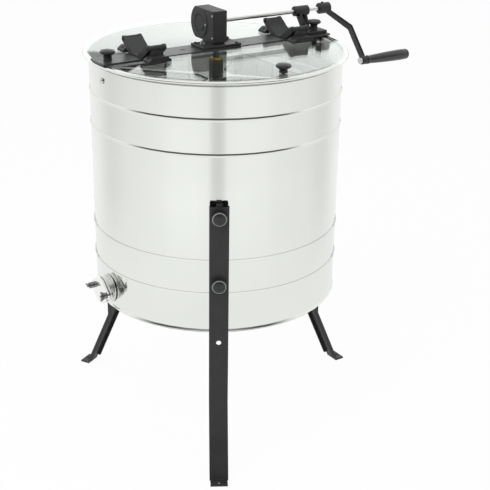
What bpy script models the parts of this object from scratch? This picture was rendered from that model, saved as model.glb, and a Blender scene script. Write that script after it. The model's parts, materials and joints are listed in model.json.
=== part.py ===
"""Hand-cranked honey extractor: a steel tank on three legs with a frame basket driven from the top.

Lengths are in metres, +Z is up and the floor is z = 0. Pieces are placed in the tank's own frame,
whose Z axis is the basket's axis and whose X axis runs along the cross bar towards the crank.
An empty shifts that frame so that the middle of the whole machine stands over the origin.
"""

import math

import bmesh
import bpy
from mathutils import Matrix

MM = 0.001

# Clearances and cuts
GAP = 0.3 * MM
BORE_PLAY = 0.3 * MM
OVERRUN = 2 * MM
OVERLAP = 1 * MM
PLATE_BEVEL = 1.2 * MM

# Tank
TANK_RADIUS = 262.5 * MM
TANK_SHEET = 1.2 * MM
TANK_HEIGHT = 521 * MM
RIM_LINE = 825 * MM
RIM_ROLL_WIDTH = 13.2 * MM
RIM_ROLL_HEIGHT = 8 * MM
RIM_ROLL_RISE = 1.8 * MM
BEAD_SHARES = (0.136, 0.2715, 0.697, 0.835)
BEAD_HEIGHT = 2.6 * MM
BEAD_WIDTH = 9 * MM
SEAM_HEIGHT = 7 * MM
SEAM_DEPTH = 2.5 * MM
FLOOR_SHEET = 1.5 * MM
FLOOR_RISE = 8 * MM
FLOOR_SKIRT = 10 * MM
FLOOR_LIFT = 2 * MM
FLOOR_FLAT_RADIUS = 45 * MM
TANK_STEPS = 48

# Legs, with their pads and knobs
LEG_WIDTH = 39 * MM
LEG_SHEET = 3 * MM
LEG_DEPTH = 11 * MM
LEG_STAND_OFF = 7.5 * MM
LEG_TOP_DROP = 240 * MM
LEG_BEND_HEIGHT = 152 * MM
LEG_FLANGE_END = 10 * MM
LEG_FOOT_RADIUS = 349 * MM
FOOT_LENGTH = 18 * MM
FOOT_HEIGHT = 4 * MM
FOOT_HOLE_RADIUS = 3.5 * MM
LEG_HOLE_RADIUS = 5.5 * MM
LEG_HOLE_DROP = 536 * MM
DRILL_STOP = 5 * MM
PAD_WIDTH = 12 * MM
PAD_TOP_DROP = 237 * MM
PAD_LENGTH = 183 * MM
LEG_KNOB_DROPS = (260 * MM, 404 * MM)
LEG_ANGLES = {"front": -120.0, "back": 120.0, "right": 0.0}

# Knob screws
KNOB_RADIUS = 15.5 * MM
KNOB_HEAD = 10 * MM
KNOB_STEM_RADIUS = 9 * MM
STUD_RADIUS = 3.5 * MM
BAR_KNOB_STEM = 11 * MM
LEG_KNOB_STEM = 6 * MM
LID_KNOB_STEM = 7 * MM
LEG_KNOB_STUD = 12.5 * MM
STUD_PROUD = 5 * MM
KNOB_STEPS = 12

# Cross bar and its supports
BAR_WIDTH = 58 * MM
BAR_SHEET = 4 * MM
BAR_END_RADIUS = 274 * MM
BAR_SLOT_LENGTH = 12 * MM
BAR_SLOT_WIDTH = 4 * MM
BAR_SLOT_AT = 80 * MM
BAR_KNOB_AT = 249 * MM
SUPPORT_WIDTH = 30 * MM
SUPPORT_SHEET = 3 * MM
SUPPORT_REACH = 27 * MM
SUPPORT_DROP = 46 * MM
SUPPORT_BOLT_DROP = 30 * MM
SUPPORT_WALL_GAP = 1.4 * MM
BOLT_RADIUS = 3 * MM
SCREW_RADIUS = 2 * MM
BOLT_HEAD_RADIUS = 6.5 * MM
BOLT_HEAD_HEIGHT = 4 * MM

# Lids
LID_SHEET = 3 * MM
LID_RADIUS = 270 * MM
LID_EDGE_AT = 31 * MM
LID_EDGE_END = 177 * MM
LID_CORNER_AT = 95 * MM
LID_KNOB_AT = 245 * MM

# Hinges of the lids
HINGE_AT = 171.5 * MM
HINGE_SHIFT = 3 * MM
HINGE_AXIS_AT = 50 * MM
HINGE_AXIS_RISE = 35 * MM
BARREL_RADIUS = 5.5 * MM
PIN_RADIUS = 2.5 * MM
CHEEK_SHEET = 6 * MM
LEAF_WIDTH = 28 * MM
LEAF_SHEET = 6 * MM
NECK_SHIFT = 1.5 * MM
SADDLE_BASE = 3 * MM
SADDLE_ROOT = 27 * MM
SADDLE_NOTCH = 8 * MM
CHEEK_RADIUS = 6.5 * MM
PAW_WIDTH = 50 * MM
PAW_DEPTH = 26 * MM
PAW_HEIGHT = 11 * MM
PAW_EDGE = 4 * MM
PAW_SHIFT = 5 * MM
RIB_COUNT = 4
RIB_WIDTH = 3 * MM
RIB_DEPTH = 1 * MM

# Gearbox, crank shaft and gears
SHAFT_RISE = 51 * MM
SHAFT_RADIUS = 4.5 * MM
HOUSING_HALF_WIDTH = 16.5 * MM
HOUSING_WALL = 2.3 * MM
HOUSING_RADIUS = 38 * MM
HOUSING_HALF_HEIGHT = 32 * MM
HOUSING_FRONT_AT = -15 * MM
COVER_DEPTH = 6.2 * MM
COVER_RING_RADIUS = 29 * MM
COVER_RING_HEIGHT = 1.5 * MM
COVER_DISC_RADIUS = 17 * MM
COVER_GROOVE = 2 * MM
GEAR_NORMAL_MODULE = 1.8 * MM
GEAR_PLAY = 0.2 * MM
WHEEL_TEETH = 24
PINION_TEETH = 6
WHEEL_HELIX_DEGREES = 40.0
WHEEL_WIDTH = 10 * MM
PINION_WIDTH = 24 * MM
WHEEL_SECTIONS = 3
PINION_SECTIONS = 11
TOOTH_ADDENDUM_SHARE = 0.65
TOOTH_DEDENDUM_SHARE = 1.05
TOOTH_ROOT_SHARE = 0.62
TOOTH_TIP_SHARE = 0.24
BUSH_WALL = 3 * MM
BUSH_FLANGE = 2 * MM
BASE_LENGTH = 92 * MM
BASE_WIDTH = 52 * MM
BASE_HEIGHT = 5 * MM
PEDESTAL_LENGTH = 30 * MM
PEDESTAL_WIDTH = 40 * MM
PEDESTAL_AT = 10 * MM
BASE_BOLT_AT = (38 * MM, 19 * MM)
PLUG_RADIUS = 3 * MM
PLUG_HEIGHT = 5 * MM

# Bearing post of the crank shaft
POST_AT = 239 * MM
POST_BASE_LENGTH = 50 * MM
POST_BASE_WIDTH = 40 * MM
POST_BASE_HEIGHT = 6 * MM
POST_BASE_AT = 246 * MM
POST_WIDTH = 18 * MM
POST_BOSS_RADIUS = 11 * MM
POST_BOSS_LENGTH = 34 * MM
POST_GROOVE_WIDTH = 8 * MM
POST_GROOVE_DEPTH = 4 * MM
POST_SCREW_AT = (-16 * MM, 14 * MM)

# Crank
CRANK_HUB_AT = 288 * MM
CRANK_HUB_LENGTH = 26 * MM
CRANK_HUB_RADIUS = 12 * MM
CRANK_RADIUS = 138 * MM
CRANK_DEGREES = 229.0
CRANK_OFFSET = 49 * MM
CRANK_BEND_AT = 57 * MM
SHAFT_PROUD = 1 * MM
ARM_WIDTH = 12 * MM
ARM_THICKNESS = 7 * MM
ARM_GROOVE_DEPTH = 3 * MM
ARM_BOSS_RADIUS = 9 * MM
ARM_BOSS_PROUD = 3 * MM
GRIP_CLEARANCE = 1 * MM
SPINDLE_RADIUS = 4 * MM
SPINDLE_HEAD_RADIUS = 7 * MM
SPINDLE_HEAD = 5 * MM
SPINDLE_TAIL = 8 * MM
GRIP_LENGTH = 116 * MM
GRIP_RADIUS = 12 * MM
SET_SCREW_RADIUS = 3 * MM
SET_SCREW_PROUD = 2 * MM

# Basket
BASKET_HALF_SIDE = 170 * MM
BASKET_TOP_DROP = 53 * MM
BASKET_BOTTOM_DROP = 433 * MM
BASKET_CORNER_CUT = 14 * MM
SPIDER_SHEET = 4 * MM
SPIDER_RAIL = 16 * MM
SPIDER_SPOKE = 14 * MM
SPIDER_HUB_RADIUS = 30 * MM
BASKET_TUBE_RADIUS = 15 * MM
BASKET_COLLAR_RADIUS = 22 * MM
BASKET_COLLAR = 8 * MM
BASKET_TUBE_DROP = 12 * MM
JOURNAL_RADIUS = 6 * MM
JOURNAL_RISE = 35 * MM
PINION_SEAT_RADIUS = 4 * MM
PINION_TOP_RISE = 71 * MM
PIVOT_RADIUS = 8 * MM
SCREEN_SHEET = 3 * MM
SCREEN_WIRE = 4 * MM
SCREEN_COLUMNS = 5
SCREEN_ROWS = 5
CORNER_POST_RADIUS = 5 * MM
CORNER_POST_AT = 158 * MM

# Bearings on the basket's axis
CUP_RADIUS = 18 * MM
CUP_FLANGE_RADIUS = 32 * MM
CUP_FLANGE = 4 * MM
CUP_HEIGHT = 24 * MM
CUP_FLOOR = 6 * MM
TOP_BUSH_RADIUS = 14 * MM
TOP_BUSH_FLANGE = 5 * MM
TOP_BUSH_SLEEVE = 9 * MM

# Honey gate
GATE_RISE = 41 * MM
PIPE_RADIUS = 23 * MM
PIPE_WALL = 2.5 * MM
PIPE_REACH_IN = 7.5 * MM
PIPE_STAND_OUT = 13.5 * MM
PIPE_COLLAR_RADIUS = 31 * MM
PIPE_COLLAR = 3 * MM
GATE_DISC_RADIUS = 29 * MM
GATE_EAR_RADIUS = 9 * MM
GATE_STUD_AT = 31 * MM
GATE_PLATE = 4 * MM
GASKET_RADIUS = 26 * MM
GASKET_SHEET = 2 * MM
GATE_STUD_RADIUS = 3 * MM
GATE_STUD_LENGTH = 24 * MM
GATE_HEAD_RADIUS = 5.5 * MM
GATE_HEAD = 3.5 * MM
GATE_SLOT_HALF = 4.7 * MM
GATE_SLOT_SHIFT = 1.3 * MM
NUT_RADIUS = 6.5 * MM
NUT_HEIGHT = 8 * MM
WING_SPAN = 11 * MM
WING_REACH = 8 * MM
WING_SHEET = 3 * MM

# The crossed gears set how far the crank's shaft lies behind the basket's axis
PINION_HELIX_DEGREES = 90 - WHEEL_HELIX_DEGREES
WHEEL_RADIUS = GEAR_NORMAL_MODULE * WHEEL_TEETH / math.cos(math.radians(WHEEL_HELIX_DEGREES)) / 2
PINION_RADIUS = GEAR_NORMAL_MODULE * PINION_TEETH / math.cos(math.radians(PINION_HELIX_DEGREES)) / 2
SHAFT_AT = WHEEL_RADIUS + PINION_RADIUS + GEAR_PLAY

# Heights that several pieces share
TANK_BOTTOM = RIM_LINE - TANK_HEIGHT
RIM_TOP = RIM_LINE + RIM_ROLL_RISE + RIM_ROLL_HEIGHT / 2
BAR_TOP = RIM_TOP + GAP + BAR_SHEET
BASE_Z = BAR_TOP + GAP
SHAFT_Z = RIM_LINE + SHAFT_RISE
HINGE_Z = RIM_LINE + HINGE_AXIS_RISE
LID_TOP = RIM_TOP + GAP + LID_SHEET
GATE_Z = TANK_BOTTOM + GATE_RISE
FLOOR_TOP = TANK_BOTTOM + FLOOR_LIFT + FLOOR_RISE + FLOOR_SHEET
SPIDER_TOP_Z = RIM_LINE - BASKET_TOP_DROP
SPIDER_BOTTOM_Z = RIM_LINE - BASKET_BOTTOM_DROP
TANK_INSIDE = TANK_RADIUS - TANK_SHEET
HOUSING_BOTTOM = SHAFT_Z - HOUSING_HALF_HEIGHT

LEG_FACE = TANK_RADIUS + LEG_STAND_OFF + LEG_DEPTH
PIPE_INSIDE = TANK_RADIUS - PIPE_REACH_IN
PIPE_FLANGE_AT = TANK_RADIUS + PIPE_STAND_OUT

# Crank places that several pieces share
ARM_PLANE_AT = CRANK_HUB_AT + CRANK_HUB_LENGTH / 2 + CRANK_OFFSET
GRIP_START = ARM_PLANE_AT + ARM_THICKNESS / 2 + ARM_BOSS_PROUD + GRIP_CLEARANCE
GRIP_END = GRIP_START + GRIP_LENGTH
GRIP_Y = SHAFT_AT + CRANK_RADIUS * math.cos(math.radians(CRANK_DEGREES))
GRIP_Z = SHAFT_Z + CRANK_RADIUS * math.sin(math.radians(CRANK_DEGREES))
GATE_FACE_AT = PIPE_FLANGE_AT + GATE_PLATE
FLAP_AT = GATE_FACE_AT + GASKET_SHEET + 2 * GAP
NUT_AT = FLAP_AT + GATE_PLATE + GAP
STUD_END = GATE_FACE_AT - GATE_PLATE + GATE_STUD_LENGTH
MIDDLE_SHIFT = (STUD_END - GRIP_END) / 2

# Turns that lay a flat outline in another plane
FACING_X = (math.pi / 2, 0, math.pi / 2)
FACING_Y = (math.pi / 2, 0, 0)
ALONG_X = (0, math.pi / 2, 0)
UPRIGHT = (0, 0, 0)

scene = bpy.context.scene
for old in list(bpy.data.objects):
    bpy.data.objects.remove(old, do_unlink=True)

PARTS = bpy.data.collections.new("honey_extractor")
CUTTERS = bpy.data.collections.new("cutters")
scene.collection.children.link(PARTS)
scene.collection.children.link(CUTTERS)


def new_material(name, color, roughness, metallic, alpha=1.0):
    """A Principled material; an alpha below 1 is a clear plastic."""
    material = bpy.data.materials.new(name)
    material.use_nodes = True
    shader = material.node_tree.nodes["Principled BSDF"]
    shader.inputs["Base Color"].default_value = (*color, 1.0)
    shader.inputs["Roughness"].default_value = roughness
    shader.inputs["Metallic"].default_value = metallic
    shader.inputs["Alpha"].default_value = alpha
    return material


STEEL = new_material("polished_steel", (0.80, 0.81, 0.79), 0.14, 1.0)
PLAIN_STEEL = new_material("plain_steel", (0.62, 0.63, 0.62), 0.35, 1.0)
COATED = new_material("black_coated_steel", (0.035, 0.036, 0.035), 0.42, 0.0)
MOULDED = new_material("black_moulded_plastic", (0.040, 0.042, 0.041), 0.50, 0.0)
CLEAR = new_material("clear_lid_plastic", (0.92, 0.95, 0.94), 0.04, 0.0, 0.25)
YELLOW = new_material("yellow_nylon", (0.80, 0.55, 0.04), 0.45, 0.0)
RUBBER = new_material("white_rubber", (0.75, 0.74, 0.70), 0.60, 0.0)
NYLON = new_material("pale_nylon", (0.78, 0.77, 0.72), 0.45, 0.0)


def new_empty(name, place, parent=None):
    empty = bpy.data.objects.new(name, None)
    PARTS.objects.link(empty)
    empty.parent = parent
    empty.location = place
    return empty


ROOT = new_empty("tank_axis", (MIDDLE_SHIFT, 0, 0))


def new_object(name, data):
    obj = bpy.data.objects.new(name, data)
    PARTS.objects.link(obj)
    obj.parent = ROOT
    return obj


def shade(obj, material):
    """Give a piece its material, and smooth shading broken at its sharp edges."""
    obj.data.materials.clear()
    obj.data.materials.append(material)
    if obj.type == "MESH":
        obj.data.shade_smooth()
        obj.data.set_sharp_from_angle(angle=math.radians(35))
    return obj


def mesh_object(name, shape):
    mesh = bpy.data.meshes.new(name)
    shape.to_mesh(mesh)
    shape.free()
    return new_object(name, mesh)


def box(name, size, place, bevel=0.0, turn=UPRIGHT):
    """A block of the given size about its own middle, with its edges rounded by bevel."""
    shape = bmesh.new()
    bmesh.ops.create_cube(shape, size=1.0)
    bmesh.ops.scale(shape, vec=size, verts=shape.verts)
    obj = mesh_object(name, shape)
    obj.location = place
    obj.rotation_euler = turn
    if bevel:
        rounding = obj.modifiers.new("rounded", "BEVEL")
        rounding.width = bevel
        rounding.segments = 2
        rounding.limit_method = "ANGLE"
    return obj


def rod(name, radius, length, place, turn=UPRIGHT, steps=16, end_radius=None):
    """A round bar or cone about its own middle, along its local Z."""
    shape = bmesh.new()
    far = radius if end_radius is None else end_radius
    bmesh.ops.create_cone(
        shape, cap_ends=True, segments=steps, radius1=radius, radius2=far, depth=length
    )
    obj = mesh_object(name, shape)
    obj.location = place
    obj.rotation_euler = turn
    return obj


def turned(name, profile, place, turn=UPRIGHT, steps=24, closed=False):
    """A turned piece: the (radius, height) profile runs down the outer side and spins about local Z."""
    mesh = bpy.data.meshes.new(name)
    edges = [(index, index + 1) for index in range(len(profile) - 1)]
    if closed:
        edges.append((len(profile) - 1, 0))
    mesh.from_pydata([(radius, 0, height) for radius, height in profile], edges, [])
    obj = new_object(name, mesh)
    obj.location = place
    obj.rotation_euler = turn
    spin = obj.modifiers.new("turned", "SCREW")
    spin.steps = steps
    spin.render_steps = steps
    spin.use_merge_vertices = True
    spin.merge_threshold = 0.00001
    return obj


def tube(name, outer, bore, length, place, turn=UPRIGHT, steps=16):
    """A plain round tube about its own middle."""
    half = length / 2
    ring = [(outer, half), (outer, -half), (bore, -half), (bore, half)]
    return turned(name, ring, place, turn, steps, closed=True)


def solid(obj):
    """The evaluated form of a curve or a modified piece, as one welded mesh in the same place."""
    bpy.context.view_layer.update()
    seen = obj.evaluated_get(bpy.context.evaluated_depsgraph_get())
    mesh = bpy.data.meshes.new_from_object(seen)
    shape = bmesh.new()
    shape.from_mesh(mesh)
    bmesh.ops.remove_doubles(shape, verts=shape.verts, dist=0.00001)
    shape.to_mesh(mesh)
    shape.free()
    made = new_object(obj.name + "_mesh", mesh)
    made.location = obj.location
    made.rotation_euler = obj.rotation_euler
    name = obj.name
    bpy.data.objects.remove(obj, do_unlink=True)
    made.name = name
    return made


def outline(name, loops, thickness, place, turn=UPRIGHT):
    """A flat piece: its outer loop and holes are drawn in its own XY plane and given a thickness."""
    curve = bpy.data.curves.new(name, "CURVE")
    curve.dimensions = "2D"
    curve.fill_mode = "BOTH"
    curve.extrude = thickness / 2
    for loop in loops:
        spline = curve.splines.new("POLY")
        spline.points.add(len(loop) - 1)
        for point, (along, across) in zip(spline.points, loop):
            point.co = (along, across, 0, 1)
        spline.use_cyclic_u = True
    obj = new_object(name, curve)
    obj.location = place
    obj.rotation_euler = turn
    return solid(obj)


def change(target, tool, operation):
    """Cut a tool from a piece, or join it on, with a Boolean; the tool becomes a hidden guide."""
    step = target.modifiers.new(operation.lower(), "BOOLEAN")
    step.operation = operation
    step.solver = "EXACT"
    step.object = tool
    PARTS.objects.unlink(tool)
    CUTTERS.objects.link(tool)
    tool.hide_render = True
    tool.display_type = "WIRE"
    tool.name = target.name + "_tool"


def cut(target, *tools):
    for tool in tools:
        change(target, tool, "DIFFERENCE")
    return target


def join(target, *tools):
    for tool in tools:
        change(target, tool, "UNION")
    return target


def ride(pivot, *pieces):
    """Hang pieces that are placed in the tank's frame on a joint's empty."""
    chain = []
    link = pivot
    while link is not ROOT:
        chain.append(link)
        link = link.parent
    for piece in pieces:
        piece.parent = pivot
        for step in chain:
            piece.location -= step.location


def arc(centre, radius, start, end, count):
    """Points along an arc, in degrees, both ends included."""
    points = []
    for index in range(count + 1):
        angle = math.radians(start + (end - start) * index / count)
        points.append((centre[0] + radius * math.cos(angle), centre[1] + radius * math.sin(angle)))
    return points


def circle(centre, radius, count):
    return arc(centre, radius, 0, 360, count)[:-1]


def rectangle(left, right, low, high):
    return [(left, low), (right, low), (right, high), (left, high)]


def around(radius, degrees, height):
    """A place at a distance from the tank's axis."""
    angle = math.radians(degrees)
    return (radius * math.cos(angle), radius * math.sin(angle), height)


def tank_section():
    """The closed section of the wall: rim roll, beads and foot seam outside, matching grooves inside."""
    roll_middle = (TANK_INSIDE + RIM_ROLL_WIDTH / 2, RIM_LINE + RIM_ROLL_RISE)
    section = []
    for degrees in (180, 135, 90, 45, 0, -45, -100):
        angle = math.radians(degrees)
        across = RIM_ROLL_WIDTH / 2 * math.cos(angle)
        rise = RIM_ROLL_HEIGHT / 2 * math.sin(angle)
        section.append((roll_middle[0] + across, roll_middle[1] + rise))
    section.append((TANK_RADIUS, RIM_LINE - RIM_ROLL_HEIGHT / 2))
    beads = [RIM_LINE - share * TANK_HEIGHT for share in BEAD_SHARES]
    for height in beads:
        section.append((TANK_RADIUS, height + BEAD_WIDTH / 2))
        section.append((TANK_RADIUS + BEAD_HEIGHT, height))
        section.append((TANK_RADIUS, height - BEAD_WIDTH / 2))
    section.append((TANK_RADIUS, TANK_BOTTOM + SEAM_HEIGHT))
    section.append((TANK_RADIUS + SEAM_DEPTH, TANK_BOTTOM + SEAM_HEIGHT / 2))
    section.append((TANK_RADIUS, TANK_BOTTOM))
    section.append((TANK_INSIDE, TANK_BOTTOM))
    for height in reversed(beads):
        section.append((TANK_INSIDE, height - BEAD_WIDTH / 2))
        section.append((TANK_INSIDE + BEAD_HEIGHT, height))
        section.append((TANK_INSIDE, height + BEAD_WIDTH / 2))
    return section


def make_tank():
    wall = turned("tank_wall", tank_section(), (0, 0, 0), steps=TANK_STEPS, closed=True)
    pipe_place = around(TANK_RADIUS, 180, GATE_Z)
    cut(wall, rod("hole", PIPE_RADIUS + GAP, 2 * PIPE_COLLAR_RADIUS, pipe_place, ALONG_X, 20))
    for degrees in (0, 180):
        place = around(TANK_RADIUS, degrees, RIM_LINE - SUPPORT_BOLT_DROP)
        cut(wall, rod("hole", BOLT_RADIUS + BORE_PLAY, 2 * BOLT_HEAD_RADIUS, place, ALONG_X, 12))
    for degrees in LEG_ANGLES.values():
        join(wall, *leg_pad(degrees))
        for drop in LEG_KNOB_DROPS:
            cut(wall, leg_drill("hole", STUD_RADIUS + BORE_PLAY, degrees, RIM_LINE - drop))
    shade(wall, STEEL)

    low = TANK_BOTTOM + FLOOR_LIFT
    edge = TANK_INSIDE - GAP
    section = [
        (0, FLOOR_TOP),
        (FLOOR_FLAT_RADIUS, FLOOR_TOP),
        (edge - FLOOR_SHEET, low + FLOOR_SHEET),
        (edge - FLOOR_SHEET, low + FLOOR_SKIRT),
        (edge, low + FLOOR_SKIRT),
        (edge, low),
        (FLOOR_FLAT_RADIUS, FLOOR_TOP - FLOOR_SHEET),
        (0, FLOOR_TOP - FLOOR_SHEET),
    ]
    shade(turned("tank_floor", section, (0, 0, 0), steps=TANK_STEPS), STEEL)


def leg_side(depth, inset, overrun):
    """The side view of a leg's channel, as (distance from the axis, height)."""
    face = LEG_FACE - inset
    back = face - depth
    top = RIM_LINE - LEG_TOP_DROP + overrun
    foot = FOOT_HEIGHT / 2 - overrun
    bend = LEG_BEND_HEIGHT
    low_face = leg_face_at(foot) - inset
    low_back = low_face - depth
    return [(back, top), (back, bend), (low_back, foot), (low_face, foot), (face, bend), (face, top)]


def leg_face_at(height):
    """How far a leg's outer face stands from the tank's axis, below its bend."""
    spread = (LEG_FOOT_RADIUS - LEG_FACE) / LEG_BEND_HEIGHT
    return LEG_FACE + spread * (LEG_BEND_HEIGHT - height)


def leg_pad(degrees):
    """The square bar welded to the wall behind a leg, on two heels that clear the beads."""
    turn = (0, 0, math.radians(degrees))
    inner = TANK_RADIUS + BEAD_HEIGHT + GAP
    outer = LEG_FACE - LEG_SHEET - GAP
    z = RIM_LINE - PAD_TOP_DROP - PAD_LENGTH / 2
    size = (outer - inner, PAD_WIDTH, PAD_LENGTH)
    pieces = [box("pad", size, around((outer + inner) / 2, degrees, z), turn=turn)]
    heel_start = TANK_RADIUS - TANK_SHEET / 2
    heel_height = 1.8 * (LEG_KNOB_DROPS[0] - PAD_TOP_DROP)
    heel_size = (outer - heel_start - PAD_WIDTH / 2, PAD_WIDTH * 0.9, heel_height)
    for drop in LEG_KNOB_DROPS:
        place = around(heel_start + heel_size[0] / 2, degrees, RIM_LINE - drop)
        pieces.append(box("heel", heel_size, place, turn=turn))
    return pieces


def leg_drill(name, radius, degrees, height):
    """A tool that drills in through a leg's face and stops before the wall."""
    length = LEG_FACE + OVERRUN - TANK_RADIUS - DRILL_STOP
    middle = LEG_FACE + OVERRUN - length / 2
    turn = (0, math.pi / 2, math.radians(degrees))
    return rod(name, radius, length, around(middle, degrees, height), turn, 12)


def make_leg(name, degrees):
    angle = math.radians(degrees)
    turn = (math.pi / 2, 0, angle)
    leg = outline("leg_" + name, [leg_side(LEG_DEPTH, 0, 0)], LEG_WIDTH, (0, 0, 0), turn)
    hollow = leg_side(LEG_DEPTH, LEG_SHEET, OVERRUN)
    inside_width = LEG_WIDTH - 2 * LEG_SHEET
    cut(leg, outline("hollow", [hollow], inside_width, (0, 0, 0), turn))

    web = -LEG_SHEET - 2 * GAP
    trim_top = leg_face_at(LEG_FLANGE_END) + web
    trim_low = leg_face_at(-OVERRUN) + web
    trim_back = trim_top - 2 * LEG_DEPTH
    trim = [(trim_back, -OVERRUN), (trim_low, -OVERRUN)]
    trim += [(trim_top, LEG_FLANGE_END), (trim_back, LEG_FLANGE_END)]
    cut(leg, outline("trim", [trim], LEG_WIDTH + 2 * OVERRUN, (0, 0, 0), turn))

    foot_start = LEG_FOOT_RADIUS - 1.5 * LEG_SHEET
    foot_length = FOOT_LENGTH + 1.5 * LEG_SHEET
    foot_size = (foot_length, inside_width + LEG_SHEET, FOOT_HEIGHT)
    foot_place = around(foot_start + foot_length / 2, degrees, FOOT_HEIGHT / 2)
    join(leg, box("foot", foot_size, foot_place, turn=(0, 0, angle)))
    hole_at = around(LEG_FOOT_RADIUS + FOOT_LENGTH / 2, degrees, FOOT_HEIGHT / 2)
    cut(leg, rod("hole", FOOT_HOLE_RADIUS, FOOT_HEIGHT + 2 * OVERRUN, hole_at, steps=12))

    for drop in LEG_KNOB_DROPS:
        cut(leg, leg_drill("hole", STUD_RADIUS + BORE_PLAY, degrees, RIM_LINE - drop))
    cut(leg, leg_drill("hole", LEG_HOLE_RADIUS, degrees, RIM_LINE - LEG_HOLE_DROP))
    shade(leg, COATED)


def knob(name, stem, stud, place, turn=UPRIGHT):
    """A mushroom-headed knob screw that stands on its local origin, with its stud below."""
    top = stem + KNOB_HEAD
    profile = [
        (0, top),
        (KNOB_RADIUS * 0.62, top - KNOB_HEAD * 0.1),
        (KNOB_RADIUS, top - KNOB_HEAD * 0.45),
        (KNOB_RADIUS * 0.92, top - KNOB_HEAD * 0.72),
        (KNOB_STEM_RADIUS * 0.9, stem),
        (KNOB_STEM_RADIUS, 0),
        (STUD_RADIUS, 0),
        (STUD_RADIUS, -stud),
        (0, -stud),
    ]
    return turned(name, profile, place, turn, KNOB_STEPS)


def make_leg_knobs():
    for name, degrees in LEG_ANGLES.items():
        turn = (0, math.pi / 2, math.radians(degrees))
        for word, drop in zip(("upper", "lower"), LEG_KNOB_DROPS):
            place = around(LEG_FACE + GAP, degrees, RIM_LINE - drop)
            made = knob("leg_knob_" + name + "_" + word, LEG_KNOB_STEM, LEG_KNOB_STUD, place, turn)
            shade(made, MOULDED)


def make_bar():
    half = BAR_WIDTH / 2
    end = math.degrees(math.asin(half / BAR_END_RADIUS))
    edge = arc((0, 0), BAR_END_RADIUS, -end, end, 4) + arc((0, 0), BAR_END_RADIUS, 180 - end, 180 + end, 4)
    slot_start = -BAR_SLOT_AT - BAR_SLOT_LENGTH / 2
    slot = rectangle(slot_start, slot_start + BAR_SLOT_LENGTH, -BAR_SLOT_WIDTH / 2, BAR_SLOT_WIDTH / 2)
    holes = [circle((0, 0), TOP_BUSH_SLEEVE + GAP, 16), slot]
    for side in (-1, 1):
        holes.append(circle((side * BAR_KNOB_AT, 0), STUD_RADIUS + BORE_PLAY, 12))
    bar = outline("cross_bar", [edge] + holes, BAR_SHEET, (0, 0, BAR_TOP - BAR_SHEET / 2))
    shade(bar, COATED)


def make_support(name, side):
    """The bent plate bolted inside the wall, under one end of the bar."""
    face = TANK_INSIDE - SUPPORT_WALL_GAP
    arm_top = RIM_TOP
    corner = [
        (face, arm_top),
        (face - SUPPORT_REACH, arm_top),
        (face - SUPPORT_REACH, arm_top - SUPPORT_SHEET),
        (face - SUPPORT_SHEET, arm_top - SUPPORT_SHEET),
        (face - SUPPORT_SHEET, RIM_LINE - SUPPORT_DROP),
        (face, RIM_LINE - SUPPORT_DROP),
    ]
    turn = (math.pi / 2, 0, 0 if side > 0 else math.pi)
    support = outline("bar_support_" + name, [corner], SUPPORT_WIDTH, (0, 0, 0), turn)
    stud_at = (side * BAR_KNOB_AT, 0, arm_top)
    cut(support, rod("hole", STUD_RADIUS + BORE_PLAY, 4 * SUPPORT_SHEET, stud_at, steps=12))
    bolt_at = (side * face, 0, RIM_LINE - SUPPORT_BOLT_DROP)
    cut(support, rod("hole", BOLT_RADIUS + BORE_PLAY, 4 * SUPPORT_SHEET, bolt_at, ALONG_X, 12))
    shade(support, COATED)


def make_support_bolt(name, side):
    """A round head outside the wall, the shank through it, and a nut inside."""
    nut_face = TANK_INSIDE - SUPPORT_WALL_GAP - SUPPORT_SHEET - GAP
    head_face = TANK_RADIUS + GAP
    profile = [
        (0, head_face + BOLT_HEAD_HEIGHT),
        (BOLT_HEAD_RADIUS * 0.7, head_face + BOLT_HEAD_HEIGHT * 0.8),
        (BOLT_HEAD_RADIUS, head_face),
        (BOLT_RADIUS, head_face),
        (BOLT_RADIUS, nut_face),
        (BOLT_HEAD_RADIUS, nut_face),
        (BOLT_HEAD_RADIUS, nut_face - BOLT_HEAD_HEIGHT),
        (0, nut_face - BOLT_HEAD_HEIGHT),
    ]
    place = (0, 0, RIM_LINE - SUPPORT_BOLT_DROP)
    bolt = turned("support_bolt_" + name, profile, place, (0, side * math.pi / 2, 0), 12)
    shade(bolt, PLAIN_STEEL)


def make_bar_knobs():
    through = BAR_SHEET + SUPPORT_SHEET + STUD_PROUD
    for name, side, under in (("left", -1, 0), ("right", 1, POST_BASE_HEIGHT + GAP)):
        place = (side * BAR_KNOB_AT, 0, BASE_Z + under)
        stud = through + under
        pivot = new_empty("bar_knob_" + name + "_turn", place, ROOT)
        ride(pivot, shade(knob("bar_knob_" + name, BAR_KNOB_STEM, stud, place), MOULDED))


def hinge_x(side):
    return side * HINGE_AT + HINGE_SHIFT


def make_saddle(name, side):
    """The moulded saddle on the bar: two solid arms in a V, with the pins of both lids pressed in."""
    rise = HINGE_Z - BASE_Z
    half = [(SADDLE_ROOT, 0)] + arc((HINGE_AXIS_AT, rise), CHEEK_RADIUS, -35, 130, 7)
    half.append((SADDLE_NOTCH, SADDLE_BASE))
    half += [(-along, up) for along, up in reversed(half)]
    x = hinge_x(side)
    width = LEAF_WIDTH + 2 * GAP + 2 * CHEEK_SHEET
    saddle = outline("hinge_saddle_" + name, [half], width, (x, 0, BASE_Z), FACING_X)
    room = CHEEK_RADIUS + GAP
    for end in (-1, 1):
        slot_size = (LEAF_WIDTH + 2 * GAP, 2 * room + OVERRUN, 4 * rise)
        slot_y = end * (HINGE_AXIS_AT + OVERRUN / 2)
        cut(saddle, box("slot", slot_size, (x, slot_y, HINGE_Z)))
    for end in (-1, 1):
        pin_place = (x, end * HINGE_AXIS_AT, HINGE_Z)
        join(saddle, rod("pin", PIN_RADIUS, width + 2 * OVERRUN, pin_place, ALONG_X, 12))
    shade(saddle, MOULDED)


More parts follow.
